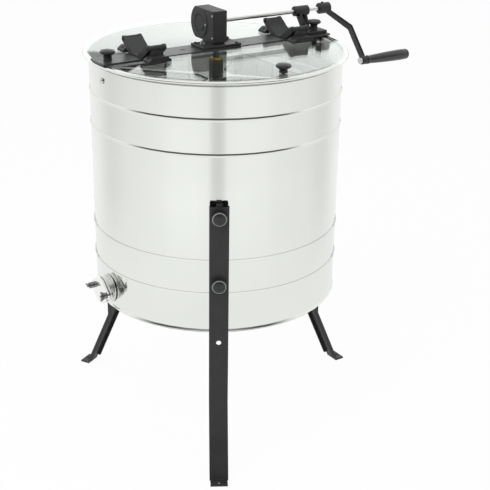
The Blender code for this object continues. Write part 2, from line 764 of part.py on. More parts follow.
def make_leaf(name, side, end):
    """A lid's hinge leaf: a barrel between the cheeks, a neck down, and a broad ribbed paw on the lid."""
    x = hinge_x(side)
    y = end * HINGE_AXIS_AT
    foot = LID_TOP + GAP
    neck_height = HINGE_Z - foot - PAW_HEIGHT / 2
    barrel = rod(name, BARREL_RADIUS, LEAF_WIDTH, (x, y, HINGE_Z), ALONG_X, 16)
    neck_place = (x, y + end * NECK_SHIFT, foot + PAW_HEIGHT / 2 + neck_height / 2)
    join(barrel, box("neck", (LEAF_WIDTH, LEAF_SHEET, neck_height), neck_place))
    wide = PAW_WIDTH / 2
    flat = LEAF_WIDTH / 2 + OVERLAP
    paw = [(-wide, 0), (wide, 0), (wide, PAW_EDGE)]
    paw += [(flat, PAW_HEIGHT), (-flat, PAW_HEIGHT), (-wide, PAW_EDGE)]
    paw_y = y + end * PAW_SHIFT
    paw_place = (x, paw_y, foot)
    join(barrel, outline("paw", [paw], PAW_DEPTH, paw_place, FACING_Y))
    pitch = LEAF_WIDTH / RIB_COUNT
    for index in range(RIB_COUNT):
        rib_x = x - LEAF_WIDTH / 2 + pitch * (index + 0.5)
        rib_y = y + end * (NECK_SHIFT + LEAF_SHEET / 2)
        rib_size = (RIB_WIDTH, RIB_DEPTH, neck_height / 2)
        rib = box("rib", rib_size, (rib_x, rib_y, foot + PAW_HEIGHT + neck_height / 4 - OVERLAP))
        join(barrel, rib)
    cut(barrel, rod("bore", PIN_RADIUS + GAP, 2 * LEAF_WIDTH, (x, y, HINGE_Z), ALONG_X, 12))
    for screw_at in (-1, 1):
        place = (x + screw_at * PAW_WIDTH * 0.4, paw_y, foot)
        cut(barrel, rod("hole", SCREW_RADIUS + BORE_PLAY, 4 * PAW_HEIGHT, place, steps=10))
    return shade(barrel, MOULDED)


def make_lid(word, end):
    """One clear half lid with its leaves on its hinge axis. Only the front lid has a knob."""
    pivot = new_empty("lid_" + word + "_hinge", (0, end * HINGE_AXIS_AT, HINGE_Z), ROOT)
    corner = math.degrees(math.asin(LID_CORNER_AT / LID_RADIUS))
    shift = end * HINGE_SHIFT
    edge = [(shift - LID_EDGE_END, LID_EDGE_AT), (shift + LID_EDGE_END, LID_EDGE_AT)]
    edge += arc((0, 0), LID_RADIUS, corner, 180 - corner, 24)
    holes = []
    if end < 0:
        holes.append(circle((0, LID_KNOB_AT), STUD_RADIUS + BORE_PLAY, 12))
    paw_y = HINGE_AXIS_AT + PAW_SHIFT
    for side in (-1, 1):
        for screw_at in (-1, 1):
            screw_x = side * HINGE_AT + shift + screw_at * PAW_WIDTH * 0.4
            holes.append(circle((screw_x, paw_y), SCREW_RADIUS + BORE_PLAY, 10))
    turn = UPRIGHT if end > 0 else (0, 0, math.pi)
    lid = outline("lid_" + word, [edge] + holes, LID_SHEET, (0, 0, LID_TOP - LID_SHEET / 2), turn)
    shade(lid, CLEAR)
    riders = [lid]
    if end < 0:
        knob_place = (0, -LID_KNOB_AT, LID_TOP + GAP)
        lid_knob = knob("lid_knob_" + word, LID_KNOB_STEM, LID_SHEET + GAP, knob_place)
        riders.append(shade(lid_knob, MOULDED))
    for side_word, side in (("left", -1), ("right", 1)):
        riders.append(make_leaf("hinge_leaf_" + word + "_" + side_word, side, end))
    ride(pivot, *riders)


def housing_loop(inset, steps):
    """The gearbox's D outline: flat towards the crank side, round behind, as (y, z) about the shaft."""
    high = HOUSING_HALF_HEIGHT - inset
    radius = HOUSING_RADIUS - inset
    limit = math.degrees(math.asin(high / radius))
    front = HOUSING_FRONT_AT - SHAFT_AT + inset
    return [(front, high), (front, -high)] + arc((0, 0), radius, -limit, limit, steps)


def make_gearbox():
    width = 2 * HOUSING_HALF_WIDTH - COVER_DEPTH - GAP
    middle = HOUSING_HALF_WIDTH - width / 2
    housing_place = (middle, SHAFT_AT, SHAFT_Z)
    housing = outline("gearbox_housing", [housing_loop(0, 12)], width, housing_place, FACING_X)
    hollow_width = width - HOUSING_WALL + OVERRUN
    hollow_middle = HOUSING_HALF_WIDTH - HOUSING_WALL - hollow_width / 2
    hollow_place = (hollow_middle, SHAFT_AT, SHAFT_Z)
    cut(housing, outline("hollow", [housing_loop(HOUSING_WALL, 12)], hollow_width, hollow_place, FACING_X))
    bush_outer = SHAFT_RADIUS + BORE_PLAY + BUSH_WALL
    bush_hole = (HOUSING_HALF_WIDTH, SHAFT_AT, SHAFT_Z)
    cut(housing, rod("hole", bush_outer + GAP, 4 * HOUSING_WALL, bush_hole, ALONG_X, 16))
    journal_hole = (0, 0, HOUSING_BOTTOM)
    cut(housing, rod("hole", JOURNAL_RADIUS + BORE_PLAY + GAP, 4 * HOUSING_WALL, journal_hole, steps=16))
    plug_hole = (HOUSING_HALF_WIDTH, 0, SHAFT_Z - HOUSING_HALF_HEIGHT / 3)
    cut(housing, rod("hole", PLUG_RADIUS + GAP, 4 * HOUSING_WALL, plug_hole, ALONG_X, 10))
    shade(housing, MOULDED)

    cover_place = (COVER_DEPTH / 2 - HOUSING_HALF_WIDTH, SHAFT_AT, SHAFT_Z)
    cover = outline("gearbox_cover", [housing_loop(0, 12)], COVER_DEPTH, cover_place, FACING_X)
    ring_place = (-HOUSING_HALF_WIDTH, SHAFT_AT, SHAFT_Z)
    ring_depth = 2 * COVER_RING_HEIGHT
    join(cover, rod("ring", COVER_RING_RADIUS, ring_depth, ring_place, ALONG_X, 24))
    groove_place = (ring_place[0] - COVER_RING_HEIGHT, SHAFT_AT, SHAFT_Z)
    groove_outer = COVER_DISC_RADIUS + COVER_GROOVE
    cut(cover, tube("groove", groove_outer, COVER_DISC_RADIUS, ring_depth, groove_place, ALONG_X, 24))
    pocket_place = (COVER_DEPTH - HOUSING_HALF_WIDTH, SHAFT_AT, SHAFT_Z)
    cut(cover, rod("pocket", bush_outer + GAP, COVER_DEPTH, pocket_place, ALONG_X, 16))
    shade(cover, MOULDED)

    plug_length = HOUSING_WALL + PLUG_HEIGHT
    plug_place = (HOUSING_HALF_WIDTH + PLUG_HEIGHT / 2 - HOUSING_WALL / 2, 0, plug_hole[2])
    plug = rod("grease_plug", PLUG_RADIUS, plug_length, plug_place, ALONG_X, 10, PLUG_RADIUS * 0.7)
    shade(plug, MOULDED)

    bore = SHAFT_RADIUS + BORE_PLAY
    wall_bush = [
        (bush_outer, HOUSING_WALL),
        (bush_outer, 0),
        (bush_outer + BUSH_FLANGE, 0),
        (bush_outer + BUSH_FLANGE, -BUSH_FLANGE),
        (bore, -BUSH_FLANGE),
        (bore, HOUSING_WALL),
    ]
    wall_place = (HOUSING_HALF_WIDTH - HOUSING_WALL - GAP, SHAFT_AT, SHAFT_Z)
    shade(turned("shaft_bush_wall", wall_bush, wall_place, ALONG_X, 16, closed=True), NYLON)
    pocket_depth = COVER_DEPTH / 2
    cover_bush_place = (COVER_DEPTH - HOUSING_HALF_WIDTH - pocket_depth / 2 + GAP, SHAFT_AT, SHAFT_Z)
    shade(tube("shaft_bush_cover", bush_outer, bore, pocket_depth, cover_bush_place, ALONG_X, 16), NYLON)

    base_size = (BASE_LENGTH, BASE_WIDTH, BASE_HEIGHT)
    base = box("gearbox_base", base_size, (0, 0, BASE_Z + BASE_HEIGHT / 2), PLATE_BEVEL)
    pedestal_top = HOUSING_BOTTOM - GAP
    pedestal_height = pedestal_top - BASE_Z - BASE_HEIGHT / 2
    pedestal_size = (PEDESTAL_LENGTH, PEDESTAL_WIDTH, pedestal_height)
    pedestal = box("pedestal", pedestal_size, (0, PEDESTAL_AT, pedestal_top - pedestal_height / 2))
    join(base, pedestal)
    cut(base, rod("hole", JOURNAL_RADIUS + BORE_PLAY + GAP, 8 * BASE_HEIGHT, (0, 0, BASE_Z), steps=16))
    for x in (-BASE_BOLT_AT[0], BASE_BOLT_AT[0]):
        for y in (-BASE_BOLT_AT[1], BASE_BOLT_AT[1]):
            cut(base, rod("hole", BOLT_RADIUS + BORE_PLAY, 4 * BASE_HEIGHT, (x, y, BASE_Z), steps=10))
    shade(base, COATED)


def gear(name, teeth, helix_degrees, width, sections, bore, place, turn):
    """A right-handed helical gear about its local Z, with room between the teeth to run freely."""
    helix = math.radians(helix_degrees)
    pitch_radius = GEAR_NORMAL_MODULE * teeth / math.cos(helix) / 2
    tip = pitch_radius + TOOTH_ADDENDUM_SHARE * GEAR_NORMAL_MODULE
    root = pitch_radius - TOOTH_DEDENDUM_SHARE * GEAR_NORMAL_MODULE
    pitch = 2 * math.pi / teeth
    loop = []
    for tooth in range(teeth):
        places = (
            (root, -TOOTH_ROOT_SHARE / 2),
            (tip, -TOOTH_TIP_SHARE / 2),
            (tip, TOOTH_TIP_SHARE / 2),
            (root, TOOTH_ROOT_SHARE / 2),
        )
        loop += [(radius, (tooth + share) * pitch) for radius, share in places]
    lead = 2 * math.pi * pitch_radius / math.tan(helix)
    shape = bmesh.new()
    rings = []
    for level in range(sections + 1):
        height = width * (level / sections - 0.5)
        twist = 2 * math.pi * height / lead
        ring = []
        for radius, angle in loop:
            point = (radius * math.cos(angle + twist), radius * math.sin(angle + twist), height)
            ring.append(shape.verts.new(point))
        rings.append(ring)
    shape.faces.new(reversed(rings[0]))
    shape.faces.new(rings[-1])
    for low, high in zip(rings, rings[1:]):
        for index in range(len(loop)):
            after = (index + 1) % len(loop)
            shape.faces.new((low[index], low[after], high[after], high[index]))
    obj = mesh_object(name, shape)
    obj.location = place
    obj.rotation_euler = turn
    return cut(obj, rod("bore", bore, 2 * width, place, turn, 12))


def make_basket():
    pivot = new_empty("basket_spin", (0, 0, 0), ROOT)
    pivot_end = FLOOR_TOP + GAP + CUP_FLOOR + GAP
    cup_top = FLOOR_TOP + GAP + CUP_HEIGHT
    tube_top = RIM_LINE - BASKET_TUBE_DROP
    journal_top = RIM_LINE + JOURNAL_RISE
    profile = [
        (0, RIM_LINE + PINION_TOP_RISE),
        (PINION_SEAT_RADIUS, RIM_LINE + PINION_TOP_RISE),
        (PINION_SEAT_RADIUS, journal_top),
        (JOURNAL_RADIUS, journal_top),
        (JOURNAL_RADIUS, tube_top),
        (BASKET_TUBE_RADIUS, tube_top),
        (BASKET_TUBE_RADIUS, SPIDER_TOP_Z - SPIDER_SHEET / 2 - GAP),
        (BASKET_COLLAR_RADIUS, SPIDER_TOP_Z - SPIDER_SHEET / 2 - GAP),
        (BASKET_COLLAR_RADIUS, SPIDER_TOP_Z - SPIDER_SHEET / 2 - GAP - BASKET_COLLAR),
        (BASKET_TUBE_RADIUS, SPIDER_TOP_Z - SPIDER_SHEET / 2 - GAP - BASKET_COLLAR),
        (BASKET_TUBE_RADIUS, SPIDER_BOTTOM_Z - SPIDER_SHEET / 2 - GAP),
        (BASKET_COLLAR_RADIUS, SPIDER_BOTTOM_Z - SPIDER_SHEET / 2 - GAP),
        (BASKET_COLLAR_RADIUS, SPIDER_BOTTOM_Z - SPIDER_SHEET / 2 - GAP - BASKET_COLLAR),
        (BASKET_TUBE_RADIUS, SPIDER_BOTTOM_Z - SPIDER_SHEET / 2 - GAP - BASKET_COLLAR),
        (BASKET_TUBE_RADIUS, cup_top + GAP),
        (PIVOT_RADIUS, cup_top + GAP),
        (PIVOT_RADIUS, pivot_end + PIVOT_RADIUS / 2),
        (0, pivot_end),
    ]
    shaft = turned("basket_shaft", profile, (0, 0, 0), steps=16)
    shade(shaft, STEEL)
    ride(pivot, shaft, make_spider("basket_spider_top", SPIDER_TOP_Z))

    low = SPIDER_BOTTOM_Z + SPIDER_SHEET / 2 + GAP
    high = SPIDER_TOP_Z - SPIDER_SHEET / 2 - GAP
    for index in range(4):
        ride(pivot, make_screen("basket_screen_" + str(index + 1), 90 * index, low, high))
    frame = make_spider("basket_frame", SPIDER_BOTTOM_Z)
    for x in (-CORNER_POST_AT, CORNER_POST_AT):
        for y in (-CORNER_POST_AT, CORNER_POST_AT):
            place = (x, y, (high + SPIDER_BOTTOM_Z) / 2)
            join(frame, rod("post", CORNER_POST_RADIUS, high - SPIDER_BOTTOM_Z, place, steps=10))
    ride(pivot, frame)

    bore = PINION_SEAT_RADIUS + BORE_PLAY
    facing = (0, 0, math.pi / 2 + math.pi / PINION_TEETH)
    place = (0, 0, SHAFT_Z)
    shape = (PINION_TEETH, PINION_HELIX_DEGREES, PINION_WIDTH, PINION_SECTIONS)
    pinion = gear("gear_pinion", *shape, bore, place, facing)
    shade(pinion, PLAIN_STEEL)
    ride(pivot, pinion)


def make_spider(name, height):
    """A square frame of flat rails with four spokes to its hub."""
    side = BASKET_HALF_SIDE
    near = side - BASKET_CORNER_CUT
    rail = side - SPIDER_RAIL
    hub = SPIDER_HUB_RADIUS
    slant = SPIDER_SPOKE / math.sqrt(2)
    window = [(hub, slant - hub), (rail, slant - rail), (rail, rail - slant), (hub, hub - slant)]
    edge = []
    windows = []
    for across, up in ((1, 0), (0, 1), (-1, 0), (0, -1)):
        edge += [(across * x - up * y, up * x + across * y) for x, y in ((side, -near), (side, near))]
        windows.append([(across * x - up * y, up * x + across * y) for x, y in window])
    loops = [edge, circle((0, 0), BASKET_TUBE_RADIUS + GAP, 16)] + windows
    return shade(outline(name, loops, SPIDER_SHEET, (0, 0, height)), STEEL)


def make_screen(name, degrees, low, high):
    """A wire screen of crossing bars that the comb leans on, set between the spiders."""
    half = CORNER_POST_AT - CORNER_POST_RADIUS - GAP
    tall = (high - low) / 2
    loops = [rectangle(-half, half, -tall, tall)]
    column = (2 * half - SCREEN_WIRE) / SCREEN_COLUMNS
    row = (2 * tall - SCREEN_WIRE) / SCREEN_ROWS
    for across in range(SCREEN_COLUMNS):
        for up in range(SCREEN_ROWS):
            left = SCREEN_WIRE - half + across * column
            bottom = SCREEN_WIRE - tall + up * row
            loops.append(rectangle(left, left + column - SCREEN_WIRE, bottom, bottom + row - SCREEN_WIRE))
    place = around(BASKET_HALF_SIDE - SPIDER_RAIL / 2, degrees, (high + low) / 2)
    turn = (math.pi / 2, 0, math.radians(degrees) + math.pi / 2)
    return shade(outline(name, loops, SCREEN_SHEET, place, turn), STEEL)


def make_axis_bearings():
    base = FLOOR_TOP + GAP
    cup = [
        (CUP_RADIUS, CUP_HEIGHT),
        (CUP_RADIUS, CUP_FLANGE),
        (CUP_FLANGE_RADIUS, CUP_FLANGE),
        (CUP_FLANGE_RADIUS, 0),
        (0, 0),
    ]
    inside = [
        (0, CUP_FLOOR),
        (PIVOT_RADIUS + GAP, CUP_FLOOR + PIVOT_RADIUS / 2 - GAP),
        (PIVOT_RADIUS + GAP, CUP_HEIGHT),
    ]
    shade(turned("bottom_bearing", inside + cup, (0, 0, base), steps=16), NYLON)

    top = BAR_TOP - BAR_SHEET - GAP
    sleeve_top = BAR_TOP - top
    bore = JOURNAL_RADIUS + BORE_PLAY
    section = [
        (TOP_BUSH_SLEEVE, sleeve_top),
        (TOP_BUSH_SLEEVE, 0),
        (TOP_BUSH_RADIUS, 0),
        (TOP_BUSH_RADIUS, -TOP_BUSH_FLANGE),
        (bore, -TOP_BUSH_FLANGE),
        (bore, sleeve_top),
    ]
    shade(turned("top_bush", section, (0, 0, top), steps=16, closed=True), YELLOW)


def make_post():
    """The cast bearing post: a base on the bar and a grooved arm that leans back to the shaft."""
    base_top = BASE_Z + POST_BASE_HEIGHT
    base_place = (POST_BASE_AT, 0, BASE_Z + POST_BASE_HEIGHT / 2)
    base_size = (POST_BASE_LENGTH, POST_BASE_WIDTH, POST_BASE_HEIGHT)
    post = box("shaft_post", base_size, base_place, PLATE_BEVEL)
    boss_place = (POST_AT, SHAFT_AT, SHAFT_Z)
    rise = SHAFT_Z - base_top
    arm = [
        (KNOB_STEM_RADIUS + OVERLAP, -POST_BASE_HEIGHT / 2),
        (POST_BASE_WIDTH / 2, -POST_BASE_HEIGHT / 2),
        (SHAFT_AT + POST_BOSS_RADIUS * 0.9, rise - POST_BOSS_RADIUS * 0.3),
        (SHAFT_AT - POST_BOSS_RADIUS * 0.6, rise + POST_BOSS_RADIUS * 0.5),
    ]
    join(post, outline("arm", [arm], POST_WIDTH, (POST_AT, 0, base_top), FACING_X))
    join(post, rod("boss", POST_BOSS_RADIUS, POST_BOSS_LENGTH, boss_place, ALONG_X, 20))
    slope = math.atan2(rise, SHAFT_AT - KNOB_STEM_RADIUS)
    groove_size = (POST_GROOVE_WIDTH, rise * 0.7, 2 * POST_GROOVE_DEPTH)
    groove_place = (POST_AT, SHAFT_AT * 0.53, base_top + rise * 0.52)
    cut(post, box("groove", groove_size, groove_place, turn=(slope, 0, 0)))
    cut(post, rod("bore", SHAFT_RADIUS + BORE_PLAY, 2 * POST_BOSS_LENGTH, boss_place, ALONG_X, 16))
    cut(post, rod("hole", STUD_RADIUS + BORE_PLAY, 4 * POST_BASE_HEIGHT, (BAR_KNOB_AT, 0, BASE_Z), steps=12))
    for y in (-POST_SCREW_AT[1], POST_SCREW_AT[1]):
        place = (POST_BASE_AT + POST_SCREW_AT[0], y, BASE_Z)
        cut(post, rod("hole", SCREW_RADIUS + BORE_PLAY, 4 * POST_BASE_HEIGHT, place, steps=10))
    shade(post, COATED)


def arm_side(half, start, end):
    """The side view of the crank arm as (distance from the shaft, distance along it)."""
    hub = CRANK_HUB_AT + CRANK_HUB_LENGTH / 2
    bend = CRANK_BEND_AT
    lean = hub + CRANK_OFFSET * start / bend
    near = [(start, lean - half), (bend, ARM_PLANE_AT - half), (end, ARM_PLANE_AT - half)]
    far = [(end, ARM_PLANE_AT + half), (bend - half, ARM_PLANE_AT + half), (start, lean + half)]
    return near + far


def make_crank():
    pivot = new_empty("crank_turn", (0, SHAFT_AT, SHAFT_Z), ROOT)
    shaft_start = COVER_DEPTH / 2 - HOUSING_HALF_WIDTH + 2 * GAP
    shaft_end = CRANK_HUB_AT + CRANK_HUB_LENGTH + SHAFT_PROUD
    shaft_place = ((shaft_start + shaft_end) / 2, SHAFT_AT, SHAFT_Z)
    shaft = rod("drive_shaft", SHAFT_RADIUS, shaft_end - shaft_start, shaft_place, ALONG_X, 16)
    shade(shaft, STEEL)

    hub_place = (CRANK_HUB_AT + CRANK_HUB_LENGTH / 2, SHAFT_AT, SHAFT_Z)
    arm = rod("crank_arm", CRANK_HUB_RADIUS, CRANK_HUB_LENGTH, hub_place, ALONG_X, 20)
    lean = math.radians(CRANK_DEGREES)
    away = (0, math.cos(lean), math.sin(lean))
    along = (1, 0, 0)
    side = (0, math.sin(lean), -math.cos(lean))
    turn = Matrix((away, along, side)).transposed()
    if turn.determinant() < 0:
        turn = Matrix((away, along, [-value for value in side])).transposed()
    lie = turn.to_euler()
    centre = (0, SHAFT_AT, SHAFT_Z)
    half = ARM_THICKNESS / 2
    start = (SHAFT_RADIUS + CRANK_HUB_RADIUS) / 2
    join(arm, outline("bar", [arm_side(half, start, CRANK_RADIUS)], ARM_WIDTH, centre, lie))
    boss_length = ARM_THICKNESS + 2 * ARM_BOSS_PROUD
    boss_place = (ARM_PLANE_AT, GRIP_Y, GRIP_Z)
    join(arm, rod("boss", ARM_BOSS_RADIUS, boss_length, boss_place, ALONG_X, 16))
    groove = arm_side(half * 0.5, CRANK_HUB_RADIUS * 1.4, CRANK_RADIUS - ARM_BOSS_RADIUS * 1.2)
    for way in (-1, 1):
        middle = way * (ARM_WIDTH / 2)
        place = (0, SHAFT_AT + side[1] * middle, SHAFT_Z + side[2] * middle)
        cut(arm, outline("groove", [groove], 2 * ARM_GROOVE_DEPTH, place, lie))
    cut(arm, rod("bore", SHAFT_RADIUS + BORE_PLAY, 2 * CRANK_HUB_LENGTH, hub_place, ALONG_X, 16))
    cut(arm, rod("bore", SPINDLE_RADIUS + BORE_PLAY, 4 * boss_length, boss_place, ALONG_X, 12))
    screw_place = (CRANK_HUB_AT + CRANK_HUB_LENGTH / 3, SHAFT_AT, SHAFT_Z + CRANK_HUB_RADIUS)
    screw_depth = CRANK_HUB_RADIUS - SHAFT_RADIUS
    cut(arm, rod("hole", SET_SCREW_RADIUS + GAP, 2 * screw_depth, screw_place, steps=10))
    shade(arm, COATED)

    screw_low = SHAFT_Z + SHAFT_RADIUS + GAP
    screw_high = SHAFT_Z + CRANK_HUB_RADIUS + SET_SCREW_PROUD
    screw_middle = (screw_place[0], SHAFT_AT, (screw_low + screw_high) / 2)
    screw = rod("crank_set_screw", SET_SCREW_RADIUS, screw_high - screw_low, screw_middle, steps=10)
    shade(screw, PLAIN_STEEL)

    head_face = ARM_PLANE_AT - boss_length / 2 - GAP
    spindle_end = GRIP_END - SPINDLE_TAIL
    profile = [
        (0, spindle_end),
        (SPINDLE_RADIUS, spindle_end),
        (SPINDLE_RADIUS, head_face),
        (SPINDLE_HEAD_RADIUS, head_face),
        (SPINDLE_HEAD_RADIUS, head_face - SPINDLE_HEAD),
        (0, head_face - SPINDLE_HEAD),
    ]
    spindle = turned("grip_spindle", profile, (0, GRIP_Y, GRIP_Z), ALONG_X, 12)
    shade(spindle, PLAIN_STEEL)

    bore = SHAFT_RADIUS + BORE_PLAY
    shape = (WHEEL_TEETH, WHEEL_HELIX_DEGREES, WHEEL_WIDTH, WHEEL_SECTIONS)
    wheel = gear("gear_wheel", *shape, bore, centre, ALONG_X)
    shade(wheel, NYLON)
    ride(pivot, shaft, arm, screw, spindle, wheel)

    grip_pivot = new_empty("grip_spin", (0, GRIP_Y - SHAFT_AT, GRIP_Z - SHAFT_Z), pivot)
    start_radius = GRIP_RADIUS * 0.78
    bore = SPINDLE_RADIUS + BORE_PLAY
    grip_profile = [
        (0, GRIP_LENGTH),
        (GRIP_RADIUS * 0.6, GRIP_LENGTH),
        (GRIP_RADIUS * 0.88, GRIP_LENGTH * 0.97),
        (GRIP_RADIUS, GRIP_LENGTH * 0.75),
        (GRIP_RADIUS * 0.98, GRIP_LENGTH * 0.4),
        (start_radius, GRIP_LENGTH * 0.06),
        (start_radius, 0),
        (bore, 0),
        (bore, GRIP_LENGTH - SPINDLE_TAIL + GAP),
        (0, GRIP_LENGTH - SPINDLE_TAIL + GAP),
    ]
    grip = turned("crank_grip", grip_profile, (GRIP_START, GRIP_Y, GRIP_Z), ALONG_X, 16)
    shade(grip, MOULDED)
    ride(grip_pivot, grip)


def gate_loop():
    """The outline of the gate and its flange as (y, z): a disc with two ears."""
    reach = math.degrees(math.acos((GATE_DISC_RADIUS - GATE_EAR_RADIUS) / GATE_STUD_AT))
    ear = (GATE_STUD_AT, 0)
    other = (-GATE_STUD_AT, 0)
    top = arc((0, 0), GATE_DISC_RADIUS, reach, 180 - reach, 8)
    left = arc(other, GATE_EAR_RADIUS, 180 - reach, 180 + reach, 6)
    bottom = arc((0, 0), GATE_DISC_RADIUS, 180 + reach, 360 - reach, 8)
    right = arc(ear, GATE_EAR_RADIUS, -reach, reach, 6)
    return top + left + bottom + right


def make_gate():
    flange_middle = -GATE_FACE_AT + GATE_PLATE / 2
    stud_holes = []
    for side in (-1, 1):
        stud_holes.append(circle((side * GATE_STUD_AT, 0), GATE_STUD_RADIUS + BORE_PLAY, 12))
    flange_loops = [gate_loop()] + stud_holes
    pipe_length = GATE_FACE_AT - PIPE_INSIDE
    pipe = outline("outlet_pipe", flange_loops, GATE_PLATE, (flange_middle, 0, GATE_Z), FACING_X)
    pipe_middle = (-PIPE_INSIDE - pipe_length / 2 + GAP / 2, 0, GATE_Z)
    join(pipe, rod("pipe", PIPE_RADIUS, pipe_length - GAP, pipe_middle, ALONG_X, 24))
    collar_middle = (-TANK_RADIUS - GAP - PIPE_COLLAR / 2, 0, GATE_Z)
    join(pipe, rod("collar", PIPE_COLLAR_RADIUS, PIPE_COLLAR, collar_middle, ALONG_X, 24))
    cut(pipe, rod("bore", PIPE_RADIUS - PIPE_WALL, 2 * pipe_length, pipe_middle, ALONG_X, 24))
    shade(pipe, STEEL)

    gasket_middle = (-GATE_FACE_AT - GAP - GASKET_SHEET / 2, 0, GATE_Z)
    gasket_bore = PIPE_RADIUS - PIPE_WALL + GAP
    shade(tube("gate_gasket", GASKET_RADIUS, gasket_bore, GASKET_SHEET, gasket_middle, ALONG_X, 24), RUBBER)

    for word, side in (("left", 1), ("right", -1)):
        head_face = GATE_FACE_AT - GATE_PLATE - GAP
        profile = [
            (0, STUD_END),
            (GATE_STUD_RADIUS, STUD_END),
            (GATE_STUD_RADIUS, head_face),
            (GATE_HEAD_RADIUS, head_face),
            (GATE_HEAD_RADIUS, head_face - GATE_HEAD),
            (0, head_face - GATE_HEAD),
        ]
        place = (0, side * GATE_STUD_AT, GATE_Z)
        shade(turned("gate_stud_" + word, profile, place, (0, -math.pi / 2, 0), 10), PLAIN_STEEL)

    hinge_place = (-FLAP_AT, GATE_STUD_AT, GATE_Z)
    pivot = new_empty("gate_swing", hinge_place, ROOT)
    flap_loops = [gate_loop(), circle((GATE_STUD_AT, 0), GATE_STUD_RADIUS + BORE_PLAY, 10)]
    flap_middle = (-FLAP_AT - GATE_PLATE / 2, 0, GATE_Z)
    flap = outline("gate_flap", flap_loops, GATE_PLATE, flap_middle, FACING_X)
    slot_y = -GATE_STUD_AT + GATE_SLOT_SHIFT
    slot_height = 2 * GATE_EAR_RADIUS
    slot_size = (2 * GATE_PLATE, 2 * GATE_SLOT_HALF, slot_height)
    cut(flap, box("slot", slot_size, (flap_middle[0], slot_y, GATE_Z - slot_height / 2)))
    cut(flap, rod("slot_end", GATE_SLOT_HALF, 2 * GATE_PLATE, (flap_middle[0], slot_y, GATE_Z), ALONG_X, 12))
    shade(flap, STEEL)
    ride(pivot, flap)

    for word, side, wing_turn in (("left", 1, UPRIGHT), ("right", -1, FACING_Y)):
        place = (-NUT_AT, side * GATE_STUD_AT, GATE_Z)
        nut_pivot = new_empty("gate_nut_" + word + "_turn", place, ROOT)
        nut_place = (-NUT_AT - NUT_HEIGHT / 2, place[1], GATE_Z)
        nut = rod("gate_nut_" + word, NUT_RADIUS, NUT_HEIGHT, nut_place, ALONG_X, 12)
        for way in (-1, 1):
            wing = [
                (NUT_HEIGHT * 0.2, 0),
                (-NUT_HEIGHT * 0.1, way * WING_SPAN * 0.7),
                (-WING_REACH, way * WING_SPAN),
                (-WING_REACH * 1.1, way * WING_SPAN * 0.6),
                (-NUT_HEIGHT * 0.35, 0),
            ]
            join(nut, outline("wing", [wing], WING_SHEET, nut_place, wing_turn))
        cut(nut, rod("bore", GATE_STUD_RADIUS + BORE_PLAY, 4 * NUT_HEIGHT, place, ALONG_X, 10))
        shade(nut, PLAIN_STEEL)
        ride(nut_pivot, nut)


make_tank()
for leg_name, leg_degrees in LEG_ANGLES.items():
    make_leg(leg_name, leg_degrees)
make_leg_knobs()
make_bar()
make_support("left", -1)
make_support("right", 1)
make_support_bolt("left", -1)
make_support_bolt("right", 1)
make_bar_knobs()
for saddle_name, saddle_side in (("left", -1), ("right", 1)):
    make_saddle(saddle_name, saddle_side)
make_lid("front", -1)
make_lid("rear", 1)
make_gearbox()
make_axis_bearings()
make_basket()
make_post()
make_crank()
make_gate()
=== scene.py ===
"""The look scene of the honey extractor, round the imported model. Metres, +Z up, the crank on +X."""
import json
import math

import bmesh
import bpy
from mathutils import Matrix, Vector


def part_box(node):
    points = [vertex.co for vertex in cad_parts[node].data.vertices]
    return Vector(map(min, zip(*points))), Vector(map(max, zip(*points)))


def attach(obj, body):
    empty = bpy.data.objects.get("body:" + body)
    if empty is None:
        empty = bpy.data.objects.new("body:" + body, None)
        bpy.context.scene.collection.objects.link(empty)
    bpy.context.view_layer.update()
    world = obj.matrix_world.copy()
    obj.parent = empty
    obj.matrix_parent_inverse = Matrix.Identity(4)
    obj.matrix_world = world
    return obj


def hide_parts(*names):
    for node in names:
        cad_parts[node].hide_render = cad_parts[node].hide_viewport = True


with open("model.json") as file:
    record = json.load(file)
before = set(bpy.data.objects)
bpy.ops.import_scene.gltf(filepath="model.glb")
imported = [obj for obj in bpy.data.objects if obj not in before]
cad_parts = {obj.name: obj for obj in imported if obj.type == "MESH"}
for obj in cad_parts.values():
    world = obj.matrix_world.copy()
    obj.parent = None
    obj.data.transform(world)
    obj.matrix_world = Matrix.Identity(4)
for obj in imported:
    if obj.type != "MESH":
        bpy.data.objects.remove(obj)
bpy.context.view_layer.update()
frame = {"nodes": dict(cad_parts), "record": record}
MM = 0.001
UP = (0, 0, 1)

BODY_OF = {
    node: body
    for body, members in frame["record"]["behaviour"]["bodies"].items()
    for node in members
}
SLOT_OF = {part["node"]: part["material_slot"] for part in frame["record"]["subparts"]}


def middle(node):
    low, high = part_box(node)
    return (Vector(low) + Vector(high)) / 2


# Sizes of the tank that its material follows
AXIS_X = middle("basket_shaft").x
TANK_RADIUS = 262.5 * MM
# The heights between which the wall is shaded as a cylinder with beads
WALL_LOW = 0.330
WALL_HIGH = 0.815
# Painted light: the inner wall grows paler, and less metallic, between these heights
PAINTED_LIGHT_HEIGHTS = (0.772, 0.800)
# Each bead's middle in millimetres, and how steeply it leans
BEADS = ((754.1, 0.34), (683.5, 0.34), (461.9, 0.09), (390.0, 0.09))
BEAD_HALF = 4.5 * MM
# Painted shade lines, each fading in between two heights: the first, the shade under the rolled rim,
# starts and ends under the rim; the second is the shade at the foot
UNDER_RIM = ((0.8172, 0.8192), (0.8240, 0.8228))
FOOT_LINE = (0.3065, 0.3045)
# The painted shade lines over the two lower beads: millimetres over the bead's middle, and how far from
# there they fade
BEAD_LINE_RISE = 3.4
BEAD_LINE_FADE = (0.0009, 0.0004)

# The rolled rim: its section is an ellipse
ROLL_WIDE = 13.2 * MM
ROLL_TALL = 8.0 * MM
ROLL_RADIUS = TANK_RADIUS + 5.4 * MM
ROLL_Z = 830.8 * MM - ROLL_TALL / 2
# The rim's faces are the ones outside this radius and over this height
ROLL_INNER = 0.2632
ROLL_LOW = 0.819
# Everything over this height is polished as the outside is
RIM_OVER = 0.8265

